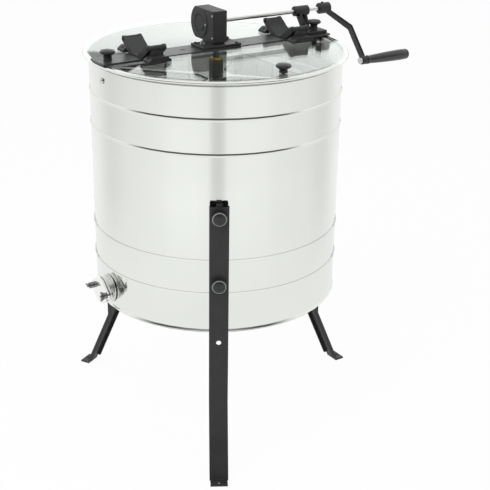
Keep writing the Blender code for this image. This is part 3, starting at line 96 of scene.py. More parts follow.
# The legs' bearings in degrees
LEGS = (("front", -120), ("back", 120), ("right", 0))
# Their pads lie outside this radius, below this height and this near to the bearing's line
PAD_FACE = 0.2646
PADS_BELOW = 0.62
PAD_HALF_WIDE = 0.0068
# Only this far out along a bearing, so that the line's other end is left bare
PAD_OUT = 0.1


def at(x, y, z):
    """A place in millimetres from the tank's axis and the floor."""
    return Vector((AXIS_X + x * MM, y * MM, z * MM))


def towards(azimuth, elevation):
    """The unit vector of a direction in degrees."""
    turn, rise = math.radians(azimuth), math.radians(elevation)
    return (math.cos(turn) * math.cos(rise), math.sin(turn) * math.cos(rise), math.sin(rise))


def along(place, direction):
    """A matrix with its origin at a place and its Z axis along a direction."""
    turn = Vector(direction).to_track_quat("Z", "Y").to_matrix().to_4x4()
    return Matrix.Translation(place) @ turn


def in_scene(name, data, matrix=None):
    """A new object in the scene."""
    obj = bpy.data.objects.new(name, data)
    bpy.context.scene.collection.objects.link(obj)
    if matrix is not None:
        obj.matrix_world = matrix
    return obj


# Camera
AZIMUTH = 56.77
ELEVATION = -23.404
ROLL = math.radians(0.89)
LENS = 83.057
CAMERA_PLACE = (-1210.5, -1968.6, 1385.7)

forward = Vector(towards(AZIMUTH, ELEVATION))
right = forward.cross(Vector(UP)).normalized()
up = right.cross(forward)
right, up = (
    right * math.cos(ROLL) + up * math.sin(ROLL),
    up * math.cos(ROLL) - right * math.sin(ROLL),
)
camera_data = bpy.data.cameras.new("camera")
camera_data.lens = LENS
camera_data.sensor_width = 36
camera_data.clip_end = 100
facing_out = Matrix((right, up, -forward)).transposed().to_4x4()
camera = in_scene("camera", camera_data, Matrix.Translation(at(*CAMERA_PLACE)) @ facing_out)
bpy.context.scene.camera = camera
bpy.context.scene.view_settings.view_transform = "Standard"


class Nodes:
    """The node tree of one material or world, with short calls to add to it."""

    def __init__(self, tree):
        self.tree = tree

    def add(self, kind, inputs=None, **settings):
        """A node of a kind, with its inputs linked or set."""
        made = self.tree.nodes.new("ShaderNode" + kind)
        for name, value in settings.items():
            setattr(made, name, value)
        for key, value in (inputs or {}).items():
            self.put(made.inputs[key], value)
        return made

    def put(self, socket, value):
        if isinstance(value, bpy.types.NodeSocket):
            self.tree.links.new(value, socket)
        else:
            socket.default_value = value

    def math(self, operation, *values):
        return self.add("Math", dict(enumerate(values)), operation=operation).outputs[0]

    def plus(self, first, second):
        return self.math("ADD", first, second)

    def minus(self, first, second):
        return self.math("SUBTRACT", first, second)

    def times(self, first, second):
        return self.math("MULTIPLY", first, second)

    def divided(self, first, second):
        return self.math("DIVIDE", first, second)

    def larger(self, first, second):
        return self.math("MAXIMUM", first, second)

    def above(self, value, limit):
        return self.math("GREATER_THAN", value, limit)

    def below(self, value, limit):
        return self.math("LESS_THAN", value, limit)

    def unsigned(self, value):
        return self.math("ABSOLUTE", value)

    def length(self, x, y):
        return self.math("SQRT", self.plus(self.times(x, x), self.times(y, y)))

    def split(self, vector):
        """A vector's three parts."""
        return self.add("SeparateXYZ", {"Vector": vector}).outputs

    def joined(self, **parts):
        return self.add("CombineXYZ", parts).outputs[0]

    def dot(self, first, second):
        made = self.add("VectorMath", {0: first, 1: second}, operation="DOT_PRODUCT")
        return made.outputs["Value"]

    def unit(self, vector):
        return self.add("VectorMath", {0: vector}, operation="NORMALIZE").outputs[0]

    def ramp(self, value, *stops, smooth=False):
        """A colour ramp from (position, grey) stops."""
        made = self.add("ValToRGB", {"Fac": value})
        ramp = made.color_ramp
        ramp.interpolation = "EASE" if smooth else "LINEAR"
        while len(ramp.elements) < len(stops):
            ramp.elements.new(0.5)
        for element, (position, grey) in zip(ramp.elements, stops):
            element.position = position
            element.color = (grey, grey, grey, 1)
        return made.outputs["Color"]

    def fade(self, value, start, end):
        """0 before start and 1 after end, eased between."""
        made = self.add("MapRange", {"Value": value, "From Min": start, "From Max": end})
        made.interpolation_type = "SMOOTHSTEP"
        return made.outputs[0]

    def blend(self, share, first, second):
        """The first colour where share is 0 and the second where it is 1."""
        made = self.add("Mix", {0: share}, data_type="RGBA")
        for number, value in ((6, first), (7, second)):
            self.put(made.inputs[number], (*value, 1) if isinstance(value, tuple) else value)
        return made.outputs[2]

    def either(self, share, first, second):
        """The first vector where share is 0 and the second where it is 1."""
        return self.add("Mix", {0: share, 4: first, 5: second}, data_type="VECTOR").outputs[1]

    def noise(self, vector, scale, detail, roughness):
        inputs = {"Vector": vector, "Scale": scale, "Detail": detail, "Roughness": roughness}
        return self.add("TexNoise", inputs).outputs[0]

    def stretched(self, vector, scale):
        return self.add("Mapping", {"Vector": vector, "Scale": scale}).outputs[0]

    def rounded(self, radius):
        """The normal with edges rounded over a radius."""
        return self.add("Bevel", {"Radius": radius}, samples=4).outputs[0]

    def edge_wear_and_highlight(self, radius, soft):
        """Near 1 on edges, where a surface wears first and where a painted highlight goes."""
        normal = self.add("NewGeometry").outputs["Normal"]
        return self.ramp(self.dot(self.rounded(radius), normal), (1 - soft, 1.0), (1.0, 0.0))

    def bump(self, strength, distance, height, normal=None):
        inputs = {"Strength": strength, "Distance": distance, "Height": height}
        if normal is not None:
            inputs["Normal"] = normal
        return self.add("Bump", inputs).outputs[0]


def toned(color, share, lift=0.0):
    """A colour made darker or lighter, and lifted evenly."""
    return tuple(min(1, value * share + lift) for value in color)


def new_material(name):
    """A material, its nodes, and the place on the object."""
    material = bpy.data.materials.new(name)
    material.use_nodes = True
    nodes = Nodes(material.node_tree)
    return material, nodes, nodes.add("TexCoord").outputs["Object"]


def dressed(material, nodes, **looks):
    """The material with its shader's inputs linked or set. An underscore stands for a space."""
    shader = material.node_tree.nodes["Principled BSDF"]
    for name, value in looks.items():
        nodes.put(shader.inputs[name.replace("_", " ")], value)
    return material


# Materials
def steel(name, color, rough, grain=(2, 2, 300)):
    """Drawn, rolled or cut steel: a fine grain, faint clouding and handling marks."""
    material, nodes, place = new_material(name)
    fine = nodes.noise(nodes.stretched(place, grain), scale=9, detail=4, roughness=0.6)
    cloud = nodes.noise(place, scale=7, detail=3, roughness=0.55)
    smear = nodes.noise(nodes.stretched(place, (1, 1, 4)), scale=16, detail=5, roughness=0.62)
    tone = nodes.blend(cloud, toned(color, 0.975), toned(color, 1.02))
    return dressed(
        material,
        nodes,
        Base_Color=nodes.blend(nodes.times(fine, 0.10), tone, toned(color, 0.80)),
        Metallic=1.0,
        Roughness=nodes.ramp(smear, (0.3, rough * 0.8), (0.7, rough * 1.25)),
        Normal=nodes.bump(strength=0.05, distance=0.0004, height=fine),
    )


def wound(nodes, place):
    """The place unrolled as (metres round the wall, radius, height), then its radius and height."""
    x, y, height = nodes.split(place)
    x = nodes.minus(x, AXIS_X)
    radius = nodes.length(x, y)
    around = nodes.times(nodes.math("ARCTAN2", y, x), TANK_RADIUS)
    return nodes.joined(X=around, Y=radius, Z=height), radius, height


def bead_slope(nodes, height):
    """How steeply the pressed beads lean, up over their upper half and down over their lower."""
    total = 0.0
    for middle_height, steepness in BEADS:
        rise = nodes.divided(nodes.minus(height, middle_height * MM), BEAD_HALF)
        inside = nodes.below(nodes.unsigned(rise), 1.0)
        slope = nodes.math("SINE", nodes.times(rise, math.pi))
        total = nodes.plus(total, nodes.times(nodes.times(slope, inside), steepness))
    return total


def round_normal(nodes, place, radius, height):
    """The wall's true normal, so that its flat facets shade as a cylinder with round beads and rim.

    Faces that follow neither keep their own normal. The second result is how far a face looks outward.
    """
    x, y, _ = nodes.split(place)
    outward = nodes.unit(nodes.joined(X=nodes.minus(x, AXIS_X), Y=y))
    normal = nodes.add("NewGeometry").outputs["Normal"]
    facing = nodes.dot(normal, outward)
    normal_x, normal_y, normal_z = nodes.split(normal)
    level = nodes.length(normal_x, normal_y)
    share = nodes.above(nodes.divided(nodes.unsigned(facing), nodes.larger(level, 0.001)), 0.995)

    def leaning(out, rise):
        flat = nodes.add("VectorMath", {0: outward, "Scale": out}, operation="SCALE").outputs[0]
        return nodes.add("VectorMath", {0: flat, 1: nodes.joined(Z=rise)}).outputs[0]

    outer = nodes.times(nodes.above(facing, 0.3), nodes.below(height, WALL_HIGH))
    outer = nodes.times(outer, nodes.above(height, WALL_LOW))
    beaded = leaning(1.0, bead_slope(nodes, height))
    cylinder = nodes.either(outer, leaning(facing, normal_z), beaded)
    chosen = nodes.either(share, normal, cylinder)
    above_roll = nodes.minus(height, ROLL_Z)
    roll = leaning(
        nodes.divided(nodes.minus(radius, ROLL_RADIUS), (ROLL_WIDE / 2) ** 2),
        nodes.divided(above_roll, (ROLL_TALL / 2) ** 2),
    )
    beyond = nodes.times(nodes.above(radius, ROLL_INNER), nodes.above(height, ROLL_LOW))
    on_roll = nodes.larger(beyond, nodes.above(above_roll, 0.0))
    return nodes.unit(nodes.either(on_roll, chosen, roll)), facing


def painted_shade_lines(nodes, height):
    """1 on the painted shade lines under the rim and at the foot, and about half on the painted shade
    lines over the lower beads.
    """
    start, end = (nodes.fade(height, *edge) for edge in UNDER_RIM)
    total = nodes.larger(nodes.times(start, end), nodes.fade(height, *FOOT_LINE))
    for middle_height, _ in BEADS[2:]:
        away = nodes.unsigned(nodes.minus(height, (middle_height + BEAD_LINE_RISE) * MM))
        total = nodes.larger(total, nodes.times(nodes.fade(away, *BEAD_LINE_FADE), 0.55))
    return total


def pad_share(nodes, place, radius, height):
    """1 on the pads' faces and sides, down the three lines where the legs stand."""
    x, y, _ = nodes.split(place)
    x = nodes.minus(x, AXIS_X)
    total = 0.0
    for _, bearing in LEGS:
        cosine, sine, _ = towards(bearing, 0)
        across = nodes.plus(nodes.times(x, -sine), nodes.times(y, cosine))
        out = nodes.plus(nodes.times(x, cosine), nodes.times(y, sine))
        near = nodes.below(nodes.unsigned(across), PAD_HALF_WIDE)
        total = nodes.plus(total, nodes.times(near, nodes.above(out, PAD_OUT)))
    total = nodes.times(nodes.above(radius, PAD_FACE), total)
    return nodes.times(total, nodes.below(height, PADS_BELOW))


def tank_steel():
    """The tank's sheet: pale and polished outside; dull inside, painted darker as shade and paler near
    the top as painted light; painted shade lines outside; the leg pads coated black.
    """
    material, nodes, place = new_material("tank_steel")
    unrolled, radius, height = wound(nodes, place)
    normal, facing = round_normal(nodes, place, radius, height)
    fine = nodes.noise(nodes.stretched(unrolled, (260, 6, 4)), scale=3, detail=4, roughness=0.6)
    cloud = nodes.noise(nodes.stretched(unrolled, (5, 1, 9)), scale=1.3, detail=3, roughness=0.55)
    smear = nodes.noise(nodes.stretched(unrolled, (14, 1, 40)), scale=1.0, detail=5, roughness=0.6)
    wave = nodes.noise(nodes.stretched(unrolled, (7, 1, 3)), scale=1.2, detail=1, roughness=0.4)
    outside = nodes.larger(nodes.above(facing, -0.2), nodes.above(height, RIM_OVER))
    # Painted light: the share of the inner wall's upper part that is painted paler
    upper = nodes.fade(height, *PAINTED_LIGHT_HEIGHTS)
    pad = pad_share(nodes, place, radius, height)
    bare = nodes.minus(1.0, pad)

    polished = nodes.blend(cloud, (0.792, 0.818, 0.780), (0.845, 0.868, 0.826))
    polished = nodes.blend(nodes.times(fine, 0.05), polished, (0.55, 0.57, 0.54))
    # Painted shade: the inside is the same steel painted darker; painted light makes its upper part
    # paler
    shaded = nodes.blend(cloud, (0.54, 0.56, 0.54), (0.62, 0.64, 0.615))
    shaded = nodes.blend(upper, shaded, (0.93, 0.95, 0.93))
    color = nodes.blend(outside, shaded, polished)
    # Painted shade: dark lines under the rim, at the foot and over the lower beads, outside only
    shade_line_share = nodes.times(painted_shade_lines(nodes, height), outside)
    color = nodes.blend(nodes.times(shade_line_share, 0.75), color, (0.12, 0.125, 0.12))

    # Painted light: the inner wall is less metallic where it is painted paler
    inner_metal = nodes.minus(0.35, nodes.times(upper, 0.35))
    metallic = nodes.larger(outside, inner_metal)
    rough = nodes.ramp(smear, (0.3, 0.07), (0.7, 0.12))
    rough = nodes.blend(outside, (0.55, 0.55, 0.55), rough)
    soft = nodes.bump(strength=0.12, distance=0.0010, height=wave, normal=normal)
    return dressed(
        material,
        nodes,
        Base_Color=nodes.blend(pad, color, (0.018, 0.018, 0.018)),
        Metallic=nodes.times(metallic, bare),
        Roughness=nodes.blend(pad, rough, (0.45, 0.45, 0.45)),
        Normal=nodes.bump(strength=0.05, distance=0.0003, height=fine, normal=soft),
    )


def coating(name, color, rough, specular=0.4):
    """Powder coat on steel: orange peel, faint dust, and edges painted lighter, partly as rubbed wear
    and partly as a painted highlight.
    """
    material, nodes, place = new_material(name)
    peel = nodes.noise(place, scale=900, detail=3, roughness=0.55)
    dust = nodes.noise(place, scale=34, detail=5, roughness=0.6)
    dusty = nodes.ramp(dust, (0.3, 0.0), (0.75, 1.0))
    # Edges painted lighter where dust lies: partly rubbed wear, partly a painted highlight
    edge = nodes.edge_wear_and_highlight(radius=0.0012, soft=0.10)
    edge = nodes.times(edge, nodes.ramp(dust, (0.35, 0.0), (0.7, 1.0)))
    tone = nodes.blend(dusty, color, toned(color, 1.45, 0.002))
    return dressed(
        material,
        nodes,
        Base_Color=nodes.blend(nodes.times(edge, 0.25), tone, toned(color, 4, 0.03)),
        Roughness=nodes.ramp(dust, (0.3, rough * 0.9), (0.75, rough * 1.2)),
        Specular_IOR_Level=specular,
        Normal=nodes.bump(strength=0.16, distance=0.0003, height=peel, normal=nodes.rounded(0.0007)),
    )


def moulded(name, color, rough, grain_scale=1400, specular=0.4):
    """Moulded plastic: an etched grain, faint flow marks, and edges with a painted highlight and lower
    roughness.
    """
    material, nodes, place = new_material(name)
    grain = nodes.add("TexVoronoi", {"Vector": place, "Scale": grain_scale}).outputs["Distance"]
    marks = nodes.noise(nodes.stretched(place, (1, 1, 2.5)), scale=26, detail=4, roughness=0.6)
    # Painted highlight: edges are painted lighter
    edge = nodes.edge_wear_and_highlight(radius=0.0009, soft=0.12)
    tone = nodes.blend(marks, toned(color, 0.82), toned(color, 1.25, 0.001))
    uneven = nodes.ramp(marks, (0.3, rough * 0.88), (0.7, rough * 1.15))
    return dressed(
        material,
        nodes,
        Base_Color=nodes.blend(nodes.times(edge, 0.22), tone, toned(color, 3, 0.02)),
        Roughness=nodes.plus(uneven, nodes.times(edge, -0.12)),
        Specular_IOR_Level=specular,
        Normal=nodes.bump(strength=0.12, distance=0.0002, height=grain, normal=nodes.rounded(0.0008)),
    )


def clear_sheet():
    """Clear plastic sheet: it mirrors its surroundings at a low angle and is seen through from above."""
    material, nodes, place = new_material("clear_sheet")
    smear = nodes.noise(place, scale=11, detail=5, roughness=0.62)
    scratches = nodes.noise(nodes.stretched(place, (2, 60, 2)), scale=7, detail=4, roughness=0.7)
    wave = nodes.noise(place, scale=4, detail=1, roughness=0.4)
    marks = nodes.ramp(scratches, (0.62, 0.0), (0.78, 1.0))
    facing = nodes.add("LayerWeight", {"Blend": 0.5}).outputs["Facing"]
    cover = nodes.ramp(facing, (0.0, 0.07), (0.40, 0.10), (0.74, 0.22), (1.0, 0.85))
    cover = nodes.plus(cover, nodes.times(marks, 0.05))
    no_shadow = nodes.minus(1.0, nodes.add("LightPath").outputs["Is Shadow Ray"])
    return dressed(
        material,
        nodes,
        Base_Color=nodes.blend(smear, (0.80, 0.835, 0.815), (0.86, 0.885, 0.87)),
        Metallic=1.0,
        Roughness=nodes.ramp(smear, (0.3, 0.02), (0.75, 0.06)),
        Alpha=nodes.times(cover, no_shadow),
        Normal=nodes.bump(strength=0.05, distance=0.001, height=wave),
    )


def nylon(name, color, rough):
    """Turned nylon or moulded rubber: waxy, with light below its surface and fine tool rings."""
    material, nodes, place = new_material(name)
    marks = nodes.noise(place, scale=60, detail=4, roughness=0.6)
    rings = nodes.noise(nodes.stretched(place, (1, 1, 60)), scale=30, detail=2, roughness=0.5)
    return dressed(
        material,
        nodes,
        Base_Color=nodes.blend(marks, toned(color, 0.88), toned(color, 1.06)),
        Roughness=nodes.ramp(marks, (0.3, rough * 0.9), (0.7, rough * 1.15)),
        Subsurface_Weight=0.12,
        Subsurface_Scale=0.002,
        Normal=nodes.bump(strength=0.12, distance=0.0002, height=rings),
    )


ZINC = steel("zinc_plated", (0.68, 0.69, 0.68), rough=0.30, grain=(40, 40, 40))
DARK_ZINC = steel("dark_zinc", (0.26, 0.265, 0.26), rough=0.33, grain=(40, 40, 40))
# Painted shade: the basket's steel is painted darker, as shade inside the tank
BASKET_IN_PAINTED_SHADE = steel("basket_steel_painted_shade", (0.40, 0.41, 0.39), rough=0.24)
COATED = coating("black_powder_coat", (0.020, 0.0205, 0.020), rough=0.42)
GRIP = moulded("grip_moulded", (0.018, 0.019, 0.0185), rough=0.24, grain_scale=900, specular=0.70)
KNOB = moulded("knob_moulded", (0.016, 0.017, 0.0165), rough=0.33, specular=0.5)
# A lighter grey on the leg knobs' head rims: a painted highlight
PAINTED_RIM_HIGHLIGHT = moulded("painted_rim_highlight", (0.30, 0.31, 0.30), rough=0.34)
YELLOW = nylon("yellow_nylon", (0.98, 0.78, 0.03), rough=0.42)

BY_SLOT = {
    "polished_steel": steel("polished_sheet", (0.80, 0.82, 0.79), rough=0.15),
    "plain_steel": ZINC,
    "black_coating": COATED,
    "black_plastic": moulded("black_moulded", (0.0255, 0.0265, 0.026), rough=0.46),
    "clear_plastic": clear_sheet(),
    "yellow_nylon": YELLOW,
    "pale_nylon": nylon("pale_nylon", (0.78, 0.77, 0.72), rough=0.45),
    "pale_rubber": nylon("pale_rubber", (0.74, 0.73, 0.69), rough=0.70),
}
BY_NODE = {
    "tank_wall": tank_steel(),
    "drive_shaft": steel("drawn_rod", (0.78, 0.79, 0.77), rough=0.16, grain=(400, 3, 3)),
    "cross_bar": coating("bar_powder_coat", (0.030, 0.031, 0.031), rough=0.34, specular=0.5),
    "crank_grip": GRIP,
    "crank_set_screw": COATED,
    "gate_nut_left": DARK_ZINC,
    "gate_nut_right": DARK_ZINC,
    "gate_stud_left": DARK_ZINC,
    "gate_stud_right": DARK_ZINC,
    "outlet_pipe": steel("pipe_steel", (0.88, 0.89, 0.87), rough=0.42),
    "gate_flap": steel("gate_steel", (0.93, 0.94, 0.92), rough=0.13),
    "gear_pinion": steel("cut_steel", (0.50, 0.50, 0.49), rough=0.36, grain=(60, 60, 60)),
    # Painted shade: the basket's tube is steel painted dark
    "basket_shaft": steel("tube_steel_painted_shade", (0.20, 0.205, 0.195), rough=0.38),
    "basket_frame": BASKET_IN_PAINTED_SHADE,
    "basket_spider_top": BASKET_IN_PAINTED_SHADE,
    "basket_screen_1": BASKET_IN_PAINTED_SHADE,
    "basket_screen_2": BASKET_IN_PAINTED_SHADE,
    "basket_screen_3": BASKET_IN_PAINTED_SHADE,
    "basket_screen_4": BASKET_IN_PAINTED_SHADE,
}


def look_of(node):
    return BY_NODE.get(node, BY_SLOT[SLOT_OF[node]])


for node in SLOT_OF:
    for holder in frame["nodes"][node].material_slots:
        holder.material = look_of(node)


# Softened copies of the solids: edges over SHARP are rounded, and faces within FLAT are joined
SHARP = math.radians(32)
FLAT = math.radians(0.6)
MERGED = 2e-6
# The basket's tube ends lower here, so that its plug sits in it
TUBE_TOP = 813 * MM
PLUG_SEAT = 807 * MM
# The width of the rounded edges in millimetres, and the solids that have it
SOFTENED = {
    2.0: ("hinge_saddle_left", "hinge_saddle_right"),
    0.9: ("gearbox_housing", "crank_arm", "shaft_post"),
    0.7: (
        "hinge_leaf_front_left",
        "hinge_leaf_front_right",
        "hinge_leaf_rear_left",
        "hinge_leaf_rear_right",
        "gearbox_cover",
        "gearbox_base",
    ),
    0.5: (
        "leg_front",
        "leg_back",
        "leg_right",
        "cross_bar",
        "bar_support_left",
        "bar_support_right",
        "grease_plug",
    ),
    0.4: (
        "outlet_pipe",
        "gate_flap",
        "gate_gasket",
        "support_bolt_left",
        "support_bolt_right",
        "top_bush",
    ),
    0.3: (
        "drive_shaft",
        "grip_spindle",
        "crank_set_screw",
        "gate_nut_left",
        "gate_nut_right",
        "gate_stud_left",
        "gate_stud_right",
        "shaft_bush_wall",
        "shaft_bush_cover",
        "basket_shaft",
        "lid_front",
        "lid_rear",
    ),
}


def stand_for(obj, node):
    """obj takes a CAD node's place and body: the node is hidden."""
    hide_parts(node)
    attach(obj, BODY_OF[node])
    return obj


def softened(node, width):
    """The same solid with its faces joined, its sharp edges rounded and its round faces smooth."""
    shape = bmesh.new()
    shape.from_mesh(frame["nodes"][node].data)
    bmesh.ops.remove_doubles(shape, verts=shape.verts[:], dist=MERGED)
    if node == "basket_shaft":
        for vert in shape.verts:
            if abs(vert.co.z - TUBE_TOP) < 0.5 * MM:
                vert.co.z = PLUG_SEAT
    bmesh.ops.dissolve_limit(
        shape,
        angle_limit=FLAT,
        verts=shape.verts[:],
        edges=shape.edges[:],
        use_dissolve_boundaries=False,
    )
    shape.verts.ensure_lookup_table()
    points = [vert.co.copy() for vert in shape.verts]
    faces = [[vert.index for vert in face.verts] for face in shape.faces]
    shape.free()
    mesh = bpy.data.meshes.new(node + "_soft")
    mesh.from_pydata(points, [], faces)
    mesh.materials.append(look_of(node))
    mesh.shade_smooth()
    obj = in_scene(node + "_soft", mesh)
    bevel = obj.modifiers.new("round", "BEVEL")
    bevel.width = width * MM
    bevel.segments = 2 if width < 1 else 4
    bevel.limit_method = "ANGLE"
    bevel.angle_limit = SHARP
    bevel.use_clamp_overlap = True
    even = obj.modifiers.new("even", "WEIGHTED_NORMAL")
    even.weight = 60
    return stand_for(obj, node)


for width, names in SOFTENED.items():
    for node in names:
        softened(node, width)


# Turned meshes
def turn_profile(shape, points, steps, lobes):
    """Turns (radius, height) points about Z, closing them at the axis.

    A point's third number, where it has one, is the depth of its flutes, and lobes is their count.
    """
    loops = []
    for radius, height, *flute in points:
        if radius == 0:
            loops.append([shape.verts.new((0, 0, height))])
            continue
        loop = []
        for step in range(steps):
            angle = 2 * math.pi * step / steps
            reach = radius - sum(flute) * (0.5 - 0.5 * math.cos(lobes * angle))
            loop.append(shape.verts.new((reach * math.cos(angle), reach * math.sin(angle), height)))
        loops.append(loop)
    for low, high in zip(loops, loops[1:]):
        for step in range(steps):
            after = (step + 1) % steps
            corners = [low[step % len(low)], low[after % len(low)]]
            corners += [high[after % len(high)], high[step % len(high)]]
            corners = list(dict.fromkeys(corners))
            if len(corners) > 2:
                shape.faces.new(corners)


def turned_mesh(name, material, *profiles, lobes=0):
    """A mesh of one or more profiles, each with its count of steps round Z."""
    shape = bmesh.new()
    for points, steps in profiles:
        turn_profile(shape, points, steps, lobes)
    bmesh.ops.remove_doubles(shape, verts=shape.verts[:], dist=1e-6)
    bmesh.ops.recalc_face_normals(shape, faces=shape.faces[:])
    mesh = bpy.data.meshes.new(name)
    shape.to_mesh(mesh)
    shape.free()
    mesh.materials.append(material)
    mesh.shade_smooth()
    mesh.set_sharp_from_angle(angle=SHARP)
    return mesh


# Small fasteners
SHANK = 4 * MM
HEAD_STEPS = 24
DOME_STEPS = 6
PAN_RIM = 0.35
PAN_FLAT = 0.42
WASHER_TALL = 0.9 * MM
HEX_SEAT = 0.95 * MM


def pan_head(name, material, radius, height):
    """A domed screw head with a cross recess, on a short shank."""
    shank = radius * 0.40
    points = [(0, -SHANK), (shank, -SHANK), (shank, 0), (radius, 0), (radius, height * PAN_RIM)]
    for step in range(1, DOME_STEPS):
        turn = math.radians(90 * step / DOME_STEPS)
        out = PAN_FLAT + (1 - PAN_FLAT) * math.cos(turn)
        rise = PAN_RIM + (1 - PAN_RIM) * math.sin(turn)
        points.append((radius * out, height * rise))
    points += [(shank, height), (0, height)]
    mesh = turned_mesh(name, material, (points, HEAD_STEPS))
    for turn in (0, math.pi / 2):
        mesh = with_slot(mesh, radius * 1.05, radius * 0.24, height, turn)
    return mesh


def with_slot(mesh, length, width, height, turn):
    """Cuts one straight recess into a head."""
    shape = bmesh.new()
    bmesh.ops.create_cube(shape, size=1)
    place = Matrix.Translation((0, 0, height)) @ Matrix.Rotation(turn, 4, "Z")
    shape.transform(place @ Matrix.Diagonal((length, width, height * 1.1, 1)))
    cutter_mesh = bpy.data.meshes.new("cutter")
    shape.to_mesh(cutter_mesh)
    shape.free()
    body = in_scene("body", mesh)
    cutter = in_scene("cutter", cutter_mesh)
    change = body.modifiers.new("slot", "BOOLEAN")
    change.operation = "DIFFERENCE"
    change.solver = "EXACT"
    change.object = cutter
    graph = bpy.context.evaluated_depsgraph_get()
    made = bpy.data.meshes.new_from_object(body.evaluated_get(graph))
    made.name = mesh.name + "_cut"
    for obj in (body, cutter):
        bpy.data.objects.remove(obj, do_unlink=True)
    return made


def hex_bolt(name, material, across, height, washer):
    """A hexagon head with a chamfered top, on a plain washer and a short shank."""
    shank = across * 0.28
    corner = across / math.sqrt(3)
    below = [(0, -SHANK), (shank, -SHANK), (shank, 0)]
    below += [(washer, 0), (washer, WASHER_TALL), (0, WASHER_TALL)]
    head = [(0, HEX_SEAT), (corner, HEX_SEAT), (corner, height * 0.86)]
    head += [(corner * 0.88, height), (0, height)]
    return turned_mesh(name, material, (below, HEAD_STEPS), (head, 6))


def fasten(name, mesh, place, direction, twist=0.0, body="tank"):
    """Sets a fastener's origin on a face, standing out along a direction."""
    obj = in_scene(name, mesh, along(place, direction) @ Matrix.Rotation(twist, 4, "Z"))
    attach(obj, body)
    return obj


small_screw = pan_head("small_screw", ZINC, radius=2.5 * MM, height=1.8 * MM)
dark_screw = pan_head("dark_screw", KNOB, radius=3.4 * MM, height=2.2 * MM)
base_bolt = hex_bolt("base_bolt", ZINC, across=9 * MM, height=6.4 * MM, washer=6.2 * MM)
dark_bolt = hex_bolt("dark_bolt", KNOB, across=8 * MM, height=5.0 * MM, washer=5.6 * MM)

# The cover's screws: how far in from its foremost face, and their Y and Z
COVER_SCREWS = ((1.5, -12.0, 898.4), (1.5, -12.0, 852.9), (0, 13, 876.5))
cover_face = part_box("gearbox_cover")[0][0]
for index, (sunk, y, z) in enumerate(COVER_SCREWS):
    place = Vector((cover_face + sunk * MM, y * MM, z * MM))
    fasten("cover_screw_%d" % (index + 1), small_screw, place, (-1, 0, 0), 0.4 * index)

# The screws and bolts of the gearbox base, on its top
BASE_TOP = 840.4
BASE_NUT_PLACE = (-30, 4, BASE_TOP)
BASE_BOLTS = (
    (-38, -19, dark_screw),
    (38, -19, dark_screw),
    (-38, 19, dark_screw),
    (38, 19, dark_bolt),
)
fasten("base_nut", base_bolt, at(*BASE_NUT_PLACE), UP, 0.2)
for index, (x, y, head) in enumerate(BASE_BOLTS):
    fasten("base_bolt_%d" % (index + 1), head, at(x, y, BASE_TOP), UP, 0.3 * index)

# The bearing post's screws, on its foot
POST_X = 230
POST_TOP = 841.4
POST_SCREWS_Y = (-14, 14)
for index, y in enumerate(POST_SCREWS_Y):
    fasten("post_screw_%d" % (index + 1), dark_screw, at(POST_X, y, POST_TOP), UP, 0.5)


# Knobs, grip and plug: profiles of (radius, height, depth of the flutes if any) in millimetres
KNOB_STUD = 3.4
KNOB_STEPS = 96
KNOB_FLUTES = 16
# Heights from the stem's upper end
KNOB_HEAD = (
    (8.1, -1.8),
    (8.9, -0.4),
    (11.2, 0.9),
    (14.2, 2.4, 0.3),
    (15.2, 3.5, 0.5),
    (15.5, 4.6, 0.6),
    (15.4, 5.6, 0.6),
    (14.8, 6.7, 0.4),
    (13.9, 7.5, 0.1),
    (13.2, 8.1),
    (12.6, 8.1),
    (12.1, 8.0),
    (9.5, 9.0),
    (6.6, 9.7),
    (5.2, 9.9),
    (4.7, 9.6),
    (2.0, 9.75),
    (0, 9.8),
)
# The painted highlight ring on a head's rim: its inner and outer radius, and the height that it lies
# over
RIM_HIGHLIGHT_RING = (12.4, 13.7)
RIM_HIGHLIGHT_OVER = 7.6
GRIP_PROFILE = (
    (0, 108.3),
    (5.4, 108.3),
    (5.4, 0),
    (8.6, 0),
    (9.3, 0.5),
    (9.6, 1.5),
    (9.6, 4.6),
    (9.2, 5.6),
    (8.7, 6.3),
    (8.9, 9.0),
    (9.6, 20),
    (10.4, 36),
    (11.1, 52),
    (11.6, 68),
    (11.9, 84),
    (11.95, 96),
    (11.7, 104.5),
    (11.4, 106.6),
    (11.0, 107.4),
    (11.0, 108.4),
    (11.4, 109.2),
    (11.5, 110.8),
    (11.1, 113.0),
    (10.0, 114.8),
    (8.4, 115.7),
    (6.6, 116.0),
    (6.0, 115.4),
    (0, 115.3),
)
PLUG_STEPS = 64
# A ring: it ends where it starts
PLUG_PROFILE = (
    (6.4, 806.6),
    (12.4, 806.6),
    (12.8, 807.0),
    (12.8, 809.8),
    (12.2, 810.6),
    (7.2, 811.2),
    (6.4, 810.8),
    (6.4, 806.6),
)


def in_mm(points):
    return [tuple(value * MM for value in point) for point in points]


def knob_mesh(name, stem, stud, painted_ring=False):
    """A moulded knob: a stud, a waisted stem, and a domed head with shallow flutes."""
    points = [
        (0, -stud),
        (KNOB_STUD - 0.2, -stud),
        (KNOB_STUD, -stud + 0.3),
        (KNOB_STUD, 0),
        (8.7, 0),
        (8.9, 0.3),
        (8.9, 1.2),
        (8.2, 2.2),
    ]
    points += [(radius, stem + height, *flute) for radius, height, *flute in KNOB_HEAD]
    mesh = turned_mesh(name, KNOB, (in_mm(points), KNOB_STEPS), lobes=KNOB_FLUTES)
    # A ring of lighter grey on the head's rim: a painted highlight
    if painted_ring:
        inner, outer = (radius * MM for radius in RIM_HIGHLIGHT_RING)
        mesh.materials.append(PAINTED_RIM_HIGHLIGHT)
        for face in mesh.polygons:
            out = math.hypot(face.center.x, face.center.y)
            on_top = face.center.z > (stem + RIM_HIGHLIGHT_OVER) * MM
            face.material_index = int(inner < out < outer and on_top)
    return mesh


